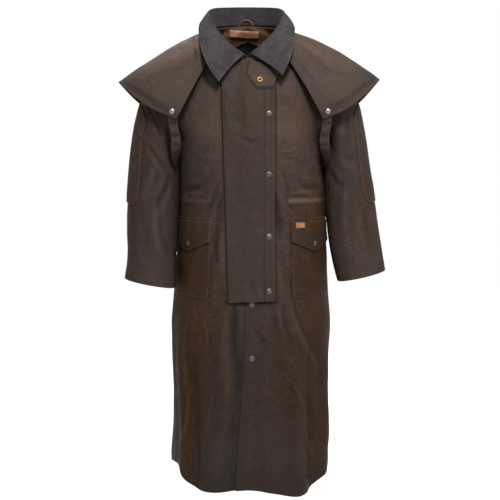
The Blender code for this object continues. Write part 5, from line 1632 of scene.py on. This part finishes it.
def build_flap_label(tree):
    width, height = 0.0265, FLAP_LABEL_HEIGHT
    across, down = slots_of(width, cell=0.002), slots_of(height, cell=0.002)
    s = FLAP_LABEL_S + (7 / PANEL_COLUMNS - FLAP_LABEL_S) * across
    z = FLAP_LABEL_Z - height * down[:, None] + 0 * across[None, :]
    spots, normals = side_point(s[None, :] + 0 * z, z)
    points = np.empty_like(spots)
    for place in np.ndindex(z.shape):
        out = Vector(normals[place])
        hit = tree.ray_cast(Vector(spots[place]) + out * 0.05, -out, 0.2)
        points[place] = Vector(hit[0]) + out * (LABEL_CLOTH + 0.0002)
    _, outer, normals = patch(
        "flap_label", points, down, across, height, width, LABEL_CLOTH,
        looks=("flap_leather",)
    )
    runs = border_runs(outer, normals, down, across, height, width, offset=0.0022)
    sew("flap_label", runs, "thread_light", 0.0026, 0.00028)


def build_storm_flap():
    tree = tree_of(FRONTS["right"], FRONTS["left"])
    height, width = FLAP_TOP_Z - FLAP_LOW_Z, FLAP_WIDTH
    down, across = slots_of(height, cell=0.0045), slots_of(width)
    across = np.unique(np.concatenate([across, 1 - np.array([0.025, 0.027, 0.029]) / width]))
    z = FLAP_TOP_Z - height * down[:, None] + 0 * across[None, :]
    drop = 0.0055 * (1 - across[None, :]) ** 0.6 + 0.0010 * np.sin(across[None, :] * 15)
    z -= ease(down[:, None] / 0.9) * drop
    seam = FLAP_SEAM_LOW_X + (FLAP_SEAM_TOP_X - FLAP_SEAM_LOW_X) * (1 - down)[:, None]
    x = seam + (FLAP_FREE_X - seam) * across[None, :]
    y = foremost(cast(tree, x, z), 2, 10) - LAYER
    a, b = x * 1000, z * 1000
    extra = crease_height(FLAP_CREASES, a, b)
    bulge = np.sin(np.pi * np.clip(across[None, :] * 0.9 + 0.05, 0, 1))
    extra += 0.0035 * ease((down[:, None] - 0.93) / 0.07) * bulge
    off = (1 - across[None, :]) * width - FLAP_INNER_STITCH
    extra -= GROOVE_DEPTH * np.exp(-((off / GROOVE_WIDTH) ** 2))
    obj, outer, normals = patch(
        "storm_flap", xyz(x, y, z), down, across, height, width, sides="se", extra=extra
    )
    paint_warmth_and_sheen(obj, BODY_WARMTH_AND_SHEEN)
    paint_shade(obj, COLLAR_SHADE + SEAM_SHADE + [(0.0385, -0.19, 0.0385, -0.752, 0.0014, 0.55)])
    runs = border_runs(outer, normals, down, across, height, width, sides="se")
    runs.append(column_run(outer, normals, 1 - across, width, FLAP_INNER_STITCH))
    sew("storm_flap", runs)
    flap = tree_of(obj)
    for k, z in enumerate(FLAP_SNAP_Z):
        place, normal = on_tree(flap, (FLAP_SNAP_X, -0.14, z), (0, -1, 0))
        snap(f"flap_snap_{k + 1}", place, normal, 1.1)
    left = tree_of(FRONTS["left"])
    for k, z in enumerate(FRONT_SNAP_Z):
        place, normal = on_tree(left, (FRONT_SNAP_X, -0.14, z), (0, -1, 0))
        snap(f"front_snap_{k + 1}", place, normal)


def build_tab():
    """The throat tab under the left collar leaf, with its brass socket, warmer cloth, a band of painted light
    across its lower part and the painted shadow of the collar leaf's edge.
    """
    tree = tree_of(FRONTS["right"], FRONTS["left"])
    width, height = 0.078, 0.066
    across, down = slots_of(width, cell=0.003), slots_of(height, cell=0.003)
    left_x, left_z, right_x, right_z = straight_along(TAB, down)
    x = left_x[:, None] + (right_x - left_x)[:, None] * across[None, :]
    z = left_z[:, None] + (right_z - left_z)[:, None] * across[None, :]
    y = foremost(cast(tree, x, z), 2, 8) - TAB_HEIGHT
    puff = 0.0012 * np.sin(np.pi * across)[None, :] * np.sin(np.pi * down)[:, None]
    obj, outer, normals = patch(
        "throat_tab", xyz(x, y, z), down, across, height, width,
        extra=puff
    )
    paint_warmth_and_sheen(obj, [(0.03, -0.15, 0.08, 0.08, 0.35)])
    paint_shade(obj, [(0.004, -0.165, 0.060, -0.172, 0.020, -0.12)] + COLLAR_SHADE[-2:])
    sew("throat_tab", border_runs(outer, normals, down, across, height, width, sides="sew"))
    place, normal = on_tree(tree_of(obj), (SOCKET_X, -0.14, SOCKET_Z), (0, -1, 0))
    socket(place, normal)


# Metal


def turned(name, place, normal, profile, look, sides=40, node=None):
    """A turned piece from (radius, height, ridge) rows, from its foot to its middle."""
    axis = Vector(normal).normalized()
    across = axis.orthogonal().normalized()
    other = axis.cross(across)
    points, faces, ridge = [], [], []
    for radius, height, worn in profile:
        for k in range(sides):
            a = 2 * math.pi * k / sides
            spoke = across * math.cos(a) + other * math.sin(a)
            points.append(Vector(place) + spoke * radius + axis * height)
            ridge.append(worn)
    for level in range(len(profile) - 1):
        for k in range(sides):
            a, b = level * sides + k, level * sides + (k + 1) % sides
            faces.append((a, b, b + sides, a + sides))
    faces.append(tuple(reversed(range(sides))))
    faces.append(tuple((len(profile) - 1) * sides + k for k in range(sides)))
    obj = new_mesh(name, np.array([tuple(p) for p in points]), faces, {"ridge": np.array(ridge)})
    obj.data.set_sharp_from_angle(angle=math.radians(50))
    obj.data.materials.append(MATERIALS[look])
    finish_piece(obj, node)


def snap(node, place, normal, scale=1.0, look="steel"):
    """A domed snap cap: a rolled rim, a narrow groove and a low dome."""
    r = SNAP_RADIUS * scale
    profile = [
        (r * 0.92, -0.0004, -1.0), (r * 0.99, 0.0001, -0.4), (r, 0.0006, 0.3), (r * 0.975, 0.0011, 0.8),
        (r * 0.92, 0.0014, 0.8), (r * 0.86, 0.0013, -0.6), (r * 0.82, 0.0012, -1.0), (r * 0.78, 0.0014, -0.3),
        (r * 0.70, 0.0018, 0.3), (r * 0.56, 0.0022, 0.5), (r * 0.40, 0.00245, 0.6), (r * 0.22, 0.0026, 0.6),
        (r * 0.05, 0.00265, 0.6),
    ]
    turned("coat_" + node, place, normal, profile, look, node=node)


def socket(place, normal):
    """The brass socket: a rolled ring round its eye."""
    r = SNAP_RADIUS
    profile = [
        (r * 0.96, -0.0004, -1.0), (r, 0.0003, 0.2), (r * 0.96, 0.0009, 0.8), (r * 0.84, 0.0013, 0.8),
        (r * 0.70, 0.0013, 0.4), (r * 0.60, 0.0009, -0.4), (r * 0.54, 0.0011, 0.2), (r * 0.47, 0.0015, 0.8),
        (r * 0.40, 0.0013, 0.4), (r * 0.36, 0.0006, -0.6), (r * 0.33, 0.0002, -1.0), (r * 0.05, 0.0002, -1.0),
    ]
    turned("coat_throat_socket", place, normal, profile, "brass", node="throat_socket")
    n = Vector(normal).normalized()
    # A flush near black disc in the socket's eye: painted shade for its opening
    eye = [(r * 0.31, 0.0, -1.0), (r * 0.30, 0.0001, -1.0), (r * 0.05, 0.0001, -1.0)]
    turned("coat_throat_socket_eye", Vector(place) + n * 0.00025, normal, eye, "dark_hole", 24)


# Sleeves


def sleeve_point(table, folds, side, t, angle, height=0.0):
    """A point of a sleeve: t 0 armhole, 1 cuff; the angle is 0 outside, 90 in front, 180 inside."""
    t, angle = np.broadcast_arrays(np.asarray(t, float), np.asarray(angle, float))
    inner_x, inner_z, outer_x, outer_z, mid_y, half_depth = along(table, t)
    a = np.radians(angle)
    reach = xyz((outer_x - inner_x) / 2, 0.0, (outer_z - inner_z) / 2)
    offset = reach * np.cos(a)[..., None] + xyz(0.0, -half_depth, 0.0) * np.sin(a)[..., None]
    across = (angle + 180) % 360 - 180
    fold = fold_height(folds, across, t, np.linalg.norm(reach, axis=-1), ARM_LENGTH) * ease(t / 0.2)
    middle = xyz((inner_x + outer_x) / 2, mid_y, (inner_z + outer_z) / 2)
    return (middle + offset + unit(offset) * (fold + height)[..., None]) * (side, 1, 1)


def sleeve_normal(table, folds, side, t, angle, step=0.004):
    t, angle = np.broadcast_arrays(np.asarray(t, float), np.asarray(angle, float))
    down = sleeve_point(table, folds, side, np.minimum(t + step, 1), angle)
    down = down - sleeve_point(table, folds, side, np.maximum(t - step, 0), angle)
    around = sleeve_point(table, folds, side, t, angle + 1) - sleeve_point(table, folds, side, t, angle - 1)
    a = np.radians(angle)
    mitre = unit(xyz(side * 0.6, -np.sin(a), np.cos(a)))
    return np.where((t < 1e-6)[..., None], mitre, unit(np.cross(around, down)) * side)


def arm_relief(creases, points, t, angle, seed):
    """Creases and rumples of a sleeve. A degree round it is about 1.4 mm."""
    table = creases[:1] + [(a * 1.4, d, b * 1.4, e, bow, w, h) for a, d, b, e, bow, w, h in creases[1:]]
    angle = (angle + 180) % 360 - 180
    down = t * ARM_LENGTH * 1000
    height = crease_height(table, angle * 1.4, down) + crease_height(table, (angle + 360) * 1.4, down)
    height += rumple(points, BODY_RUMPLE, seed) * 0.7
    inside = np.abs((angle + 360) % 360 - 180)
    press = np.interp(down, *INSIDE_PRESS["right" if seed < 3 else "left"])
    calm = 1 - 0.8 * np.exp(-((inside / 26) ** 2))
    return (height * calm + press / 1000 * np.exp(-((inside / 20) ** 2))) * ease(t / 0.10)


def build_sleeve(name, side, table, folds, creases):
    width = 0.42
    t = slots_of(ARM_LENGTH, edge_low=False)[:, None]
    angle = np.arange(0, 360, 360 / 104)[None, :]
    points, normals = sleeve_point(table, folds, side, t, angle), sleeve_normal(table, folds, side, t, angle)
    relief = arm_relief(creases, points, t + 0 * angle, angle + 0 * t, 3 + side)
    sewn, _ = edge_relief(t[:, 0], np.array([0.0, 1.0]), ARM_LENGTH, width, "s")
    relief += sewn[:, :1]
    edge = np.minimum((1 - t) * ARM_LENGTH, EDGE_REACH) + 0 * angle
    obj, outer = cloth(f"sleeve_{name}", points, normals, wrap=True, relief=relief, edge=edge)
    places = [(side * 0.30, -0.30, 0.05, 0.06, 0.25), (side * 0.32, -0.50, 0.04, 0.10, 0.30)]
    paint_warmth_and_sheen(obj, places)
    hidden = 0.90 * np.exp(-(((angle - 184) / 26) ** 2)) * ease((t - 0.08) / 0.12)
    shade_grid(obj, np.maximum(0.14 if side < 0 else 0.03, hidden))
    runs = [row_run(outer[::-1], normals[::-1], 1 - t[::-1, 0], ARM_LENGTH, CUFF_STITCH)]
    runs = [(np.concatenate([p, p[:1]]), np.concatenate([n, n[:1]])) for p, n in runs]
    sew(f"sleeve_{name}", runs)
    build_elbow_patch(name, side, table, folds, creases)


def build_elbow_patch(name, side, table, folds, creases):
    low, high = PATCH_FIRST_RING / 15, PATCH_LAST_RING / 15
    height, width = (high - low) * ARM_LENGTH, 0.225
    down, across = slots_of(height), slots_of(width)
    t = low + (high - low) * down[:, None]
    from_end = np.minimum(down, 1 - down)[:, None] * height
    cut = PATCH_CUT * 0.6 * np.clip(1 - from_end / 0.018, 0, 1)
    first, last = PATCH_FRONT_ANGLE - cut, PATCH_BACK_ANGLE + cut
    angle = first + (last - first) * across[None, :]
    t = t + 0 * angle
    points, normals = sleeve_point(table, folds, side, t, angle), sleeve_normal(table, folds, side, t, angle)
    extra = arm_relief(creases, points, t, angle, 3 + side)
    points = points + normals * PATCH_HEIGHT
    obj, outer, normals = patch(
        f"elbow_patch_{name}", points, down, across, height, width,
        outward=(side, 0, 0.3), extra=extra
    )
    paint_warmth_and_sheen(obj, [(side * 0.31, -0.45, 0.05, 0.12, 0.35)])
    sew(f"elbow_patch_{name}", border_runs(outer, normals, down, across, height, width))


# Cape and its straps


def cape_place(side, t, u):
    """A point of the cape: t is 0 at its front edge and 1 at the centre back; u 0 neck, 1 hem."""
    t, u = np.broadcast_arrays(np.asarray(t, float), np.asarray(u, float))
    neck_row, neck_s, bow_x, bow_y, bow_z, hem_x, hem_y, hem_z = along(CAPE, t)
    row, s = np.minimum(neck_row, 2), side * np.maximum(neck_s, 1e-6)
    neck = [body_point(face, row, s) + body_normal(face, row, s) * CAPE_NECK_HEIGHT for face in (-1, 1)]
    neck = np.where((t < CAPE_SHOULDER_T)[..., None], *neck)
    at_shoulder = np.exp(-(((t - CAPE_SHOULDER_T) / 0.16) ** 2))
    bow, hem = xyz(side * bow_x, bow_y, bow_z - 0.017 * at_shoulder), xyz(side * hem_x, hem_y, hem_z)
    if side < 0:
        near = np.exp(-(((t - CAPE_SHOULDER_T) / 0.2) ** 2))[..., None]
        bow = bow - near * (0, 0, CAPE_RIGHT_DROP)
        hem = hem + near * (-CAPE_RIGHT_SPREAD, 0, -CAPE_RIGHT_DROP)
    u = u[..., None]
    return neck * (1 - u) ** 2 + bow * 2 * u * (1 - u) + hem * u * u


def cape_relief(side, t, u, points):
    """Broad soft folds. The cape stays plain at its neck, its snaps and the ends of its straps."""
    height = crease_height(CAPE_CREASES, t * 720 + (14 if side < 0 else 0), u * 250)
    height = height * (0.85 if side < 0 else 1.0) + rumple(points, CAPE_RUMPLE, 6)
    plain = 1 - np.exp(-(((t - STRAP_BACK_T) / 0.05) ** 2) - ((u - STRAP_BACK_U) / 0.25) ** 2)
    snap_spot = 1 - np.exp(-(((t - CAPE_SNAP_T) / 0.05) ** 2) - ((u - CAPE_SNAP_U) / 0.12) ** 2)
    return height * ease(u / 0.25) * plain * snap_spot


# Painted light on the shoulders, a dark seam line on the right one, painted shade along the hem and painted
# light on the cloth above it
CAPE_SHADE = [
    (-0.110, -0.040, -0.270, -0.120, 0.030, -0.30),
    (0.110, -0.040, 0.270, -0.115, 0.030, -0.22),
    (-0.158, -0.035, -0.146, -0.098, 0.0060, 0.28),
    (-0.188, -0.262, -0.350, -0.160, 0.005, 0.30),
    (0.188, -0.262, 0.345, -0.150, 0.005, 0.30),
    (-0.190, -0.190, -0.280, -0.160, 0.060, -0.13),
    (0.190, -0.190, 0.280, -0.160, 0.060, -0.10),
]


def build_cape():
    width, height = 0.52, 0.235
    half = slots_of(width, edge_high=False, cell=0.0036)
    u = slots_of(height, edge_low=False)[:, None]
    grids, reliefs = [], []
    for side, t in ((-1, half), (1, half[:-1][::-1])):
        points = cape_place(side, t[None, :], u)
        grids.append(points)
        relief = cape_relief(side, t[None, :] + 0 * u, u + 0 * t[None, :], points)
        sewn, _ = edge_relief(u[:, 0], t, height, width, "sw")
        reliefs.append(relief + sewn)
    grid, relief = np.concatenate(grids, 1), np.concatenate(reliefs, 1)
    normals = grid_normals(grid)
    if normals[-1, 0, 1] > 0:
        normals = -normals
    t = np.concatenate([half, 1 + (1 - half[:-1][::-1])])
    obj, outer = cloth("cape", grid, normals, relief=relief)
    # Painted warm sheen on the shoulder tops
    paint_warmth_and_sheen(obj, [(side * 0.20, -0.06, 0.12, 0.06, 0.18) for side in (-1, 1)])
    paint_shade(obj, CAPE_SHADE, front=False)
    runs = [row_run(outer[::-1], normals[::-1], 1 - u[::-1, 0], height, STITCH_OFFSET)]
    runs.append(column_run(outer, normals, t, width, STITCH_OFFSET))
    runs.append(column_run(outer[:, ::-1], normals[:, ::-1], 2 - t[::-1], width, STITCH_OFFSET))
    sew("cape", runs)
    tree = tree_of(obj)
    for name, side in (("right", -1), ("left", 1)):
        place, normal = cape_at(side, np.array(CAPE_SNAP_T), np.array(CAPE_SNAP_U))
        place, normal = on_tree(tree, place, normal)
        # The cape's snaps take the lighter copy of steel: painted light
        snap(f"cape_snap_{name}", place, normal, 1.0, "bright_steel")
        build_strap(name, side)


def cape_at(side, t, u):
    """A point of the cape and its outward normal."""
    across = cape_place(side, t + 0.01, u) - cape_place(side, t - 0.01, u)
    down = cape_place(side, t, u + 0.01) - cape_place(side, t, u - 0.01)
    return cape_place(side, t, u), unit(np.cross(down, across)) * side


def under_cape(side, t, u):
    """A point just behind the cape, where a strap's face lies on it, and the cape's line across."""
    place, normal = cape_at(side, np.array(t), np.array(u))
    across = cape_place(side, t + 0.01, u) - cape_place(side, t - 0.01, u)
    return place - normal * (CLOTH + STRAP_SEAT), unit(across)


def build_strap(name, side):
    """The strap from the cape's front corner, under the arm, to its back, creased across."""
    length = STRAP_LENGTH
    down, across = slots_of(length), np.array([0, 0.04, 0.1, 0.2, 0.35, 0.5, 0.65, 0.8, 0.9, 0.96, 1.0])
    beyond, y, z, across_x, across_z = along(STRAP, down)
    beyond = beyond - 0.0062 * np.exp(-(((z + 0.325) / 0.035) ** 2))
    middle = xyz(side * (read(TORSO, name, z) + beyond), y, z)
    line = unit(xyz(side * across_x, 0.0, across_z))
    for end, t, u in ((0, CAPE_SNAP_T, CAPE_SNAP_U), (1, STRAP_BACK_T, STRAP_BACK_U)):
        place, lie = under_cape(side, t, u)
        near = (1 - ease(np.abs(down - end) * STRAP_ROWS / STRAP_BLEND))[:, None]
        _, end_y, end_z, _, _ = along(STRAP, np.array(float(end)))
        start = np.array([side * (read(TORSO, name, end_z) + STRAP[1][0]), end_y, end_z])
        middle = middle + (place - start) * near
        lie = lie if lie[0] * side > 0 else -lie
        line = unit(line + (lie - line) * near)
    points = middle[:, None, :] + line[:, None, :] * ((across - 0.5) * STRAP_WIDTH)[None, :, None]
    extra = np.zeros((len(down), len(across)))
    for place, depth, slant in STRAP_CREASES:
        off = down[:, None] * length * 1000 - place - slant * (across[None, :] - 0.5) * 2
        extra += depth * 0.0016 * np.exp(-((off / 2.8) ** 2))
    extra *= ease(np.minimum(down, 1 - down) / 0.06)[:, None]
    _, outer, normals = patch(
        f"cape_strap_{name}", points, down, across, length, STRAP_WIDTH, extra=extra,
        sides="we", probe=0.08,
    )
    sew(f"cape_strap_{name}", border_runs(outer, normals, down, across, length, STRAP_WIDTH, 0.0025, "we"))


# Collar


def collar_sections(turn):
    """The collar's shown side round the neck: up the stand, over the roll, down the fall."""
    side = np.where(turn > 0, 1, -1)
    a = np.abs(turn)
    base = np.where(
        (a > 90)[..., None],
        neckline(side, np.clip((180 - a) / 90, 0, 1), -1),
        neckline(side, np.clip(a / 90, 0, 1), 1),
    )
    roll = xyz(*[read(COLLAR, name, turn) for name in ("roll_x", "roll_y", "roll_z")])
    edge = xyz(*[read(COLLAR, name, turn) for name in ("edge_x", "edge_y", "edge_z")])
    out = unit((edge - base) * (1, 1, 0))
    base = base + (0, 0, COLLAR_LIFT) - out * 0.001
    up = np.array((0.0, 0.0, 1.0))
    sections = []
    last = roll - out * ROLL_RADIUS
    for t in np.linspace(0, 1, 9)[:-1]:
        sections.append(base + (last - base) * t)
    for b in np.radians(np.linspace(180, 0, 11)):
        sections.append(roll + (out * math.cos(b) + up * math.sin(b)) * ROLL_RADIUS)
    start = sections[-1]
    bow = (start + edge) / 2 + (out + up) * COLLAR_BOW
    turn_at = 2 * bow - (start + edge) / 2
    falls = slots_of(COLLAR_FALL, edge_low=False, cell=0.004)[1:]
    for t in falls:
        sections.append(start * (1 - t) ** 2 + turn_at * 2 * t * (1 - t) + edge * t * t)
    return np.stack(sections), len(sections) - len(falls), falls


def build_collar():
    turns = -180 + 360 * slots_of(COLLAR_LENGTH, cell=0.0042)
    grid, roll_end, falls = collar_sections(turns)
    normals = grid_normals(grid)
    if normals[-1, len(turns) // 2, 1] < 0:
        normals = -normals
    t = np.concatenate([np.zeros(roll_end), falls])
    from_ends = np.minimum(turns + 180, 180 - turns) / 360 * COLLAR_LENGTH
    from_edge = (1 - t) * COLLAR_FALL
    near = np.minimum(from_ends[None, :], from_edge[:, None])
    on_fall = ease(t / 0.15)[:, None]
    groove = -GROOVE_DEPTH * np.exp(-(((near - STITCH_OFFSET) / GROOVE_WIDTH) ** 2)) * on_fall
    dropped = EDGE_DROP * np.exp(-((near / EDGE_WIDTH) ** 2)) * on_fall
    relief = rumple(grid, COLLAR_RUMPLE, 9) * on_fall + groove - dropped
    wave = 0.0016 * np.exp(-(((from_edge[:, None] - 0.02) / 0.016) ** 2))
    relief += wave * np.sin(np.radians(turns) * 7)[None, :] * on_fall
    obj, outer = cloth(
        "collar", grid, normals, thick=COLLAR_CLOTH, relief=relief,
        edge=np.minimum(near + 0.03 * (1 - on_fall), EDGE_REACH), looks=("collar_cloth",)
    )
    rows, columns = len(grid), len(turns)
    inside = np.clip((roll_end - 4 - np.arange(rows)) / 6, 0, 1)[:, None] + 0 * turns[None, :]
    shade_grid(obj, inside * 0.42)
    k = int(np.argmin(np.abs(from_edge - STITCH_OFFSET)))
    runs = [(outer[k, 5:-5], normals[k, 5:-5])]
    for j in (5, columns - 6):
        runs.append((outer[roll_end + 2 : k + 1, j], normals[roll_end + 2 : k + 1, j]))
    sew("collar", runs, look="thread_grey")


# The scene


build_front("right", -1)
build_front("left", 1)
build_back()
build_facing()
build_storm_flap()
build_tab()
build_pocket("right", -1)
build_pocket("left", 1)
build_sleeve("right", -1, RIGHT_ARM, RIGHT_ARM_FOLDS, RIGHT_ARM_CREASES)
build_sleeve("left", 1, LEFT_ARM, LEFT_ARM_FOLDS, LEFT_ARM_CREASES)
build_cape()
build_collar()

FLOOR_Z = -1.46
PHOTO_SIZE = 500
PHOTO_LENS = 1143
PHOTO_DISTANCE = 3.2
PHOTO_HEIGHT = -0.35


def light(name, place, aim, size, power, tint=(1, 1, 1)):
    data = bpy.data.lights.new(name, "AREA")
    data.shape, data.size, data.energy, data.color = "DISK", size, power, tint
    lamp = bpy.data.objects.new(name, data)
    lamp.location = place
    lamp.rotation_euler = (Vector(aim) - Vector(place)).to_track_quat("-Z", "Y").to_euler()
    bpy.context.scene.collection.objects.link(lamp)


def build_studio():
    corners = [(-6, -6, FLOOR_Z), (6, -6, FLOOR_Z), (6, 6, FLOOR_Z), (-6, 6, FLOOR_Z)]
    floor = new_mesh("studio_floor", corners, [(0, 1, 2, 3)])
    floor.data.materials.append(MATERIALS["floor"])
    world = bpy.data.worlds.new("studio")
    bpy.context.scene.world = world
    world.use_nodes = True
    background = world.node_tree.nodes["Background"]
    background.inputs["Color"].default_value = (1, 1, 1, 1)
    background.inputs["Strength"].default_value = 1.0
    light("key", (0.30, -1.55, 1.55), (0, 0, -0.15), 0.6, 180, (1.0, 0.97, 0.94))
    light("side", (2.2, -1.2, 0.4), (0.1, 0, -0.5), 1.2, 25, (1.0, 0.96, 0.92))
    light("back", (-0.8, 1.6, 1.8), (0, 0, -0.3), 1.4, 40)
    scene = bpy.context.scene
    scene.view_settings.view_transform = "Standard"
    data = bpy.data.cameras.new("photo_camera")
    data.sensor_width = 36
    data.lens = PHOTO_LENS * 36 / PHOTO_SIZE
    data.shift_y = -0.2
    camera = bpy.data.objects.new("photo_camera", data)
    camera.location = (0, -PHOTO_DISTANCE, PHOTO_HEIGHT)
    camera.rotation_euler = (math.pi / 2, 0, 0)
    scene.collection.objects.link(camera)
    scene.camera = camera


build_studio()
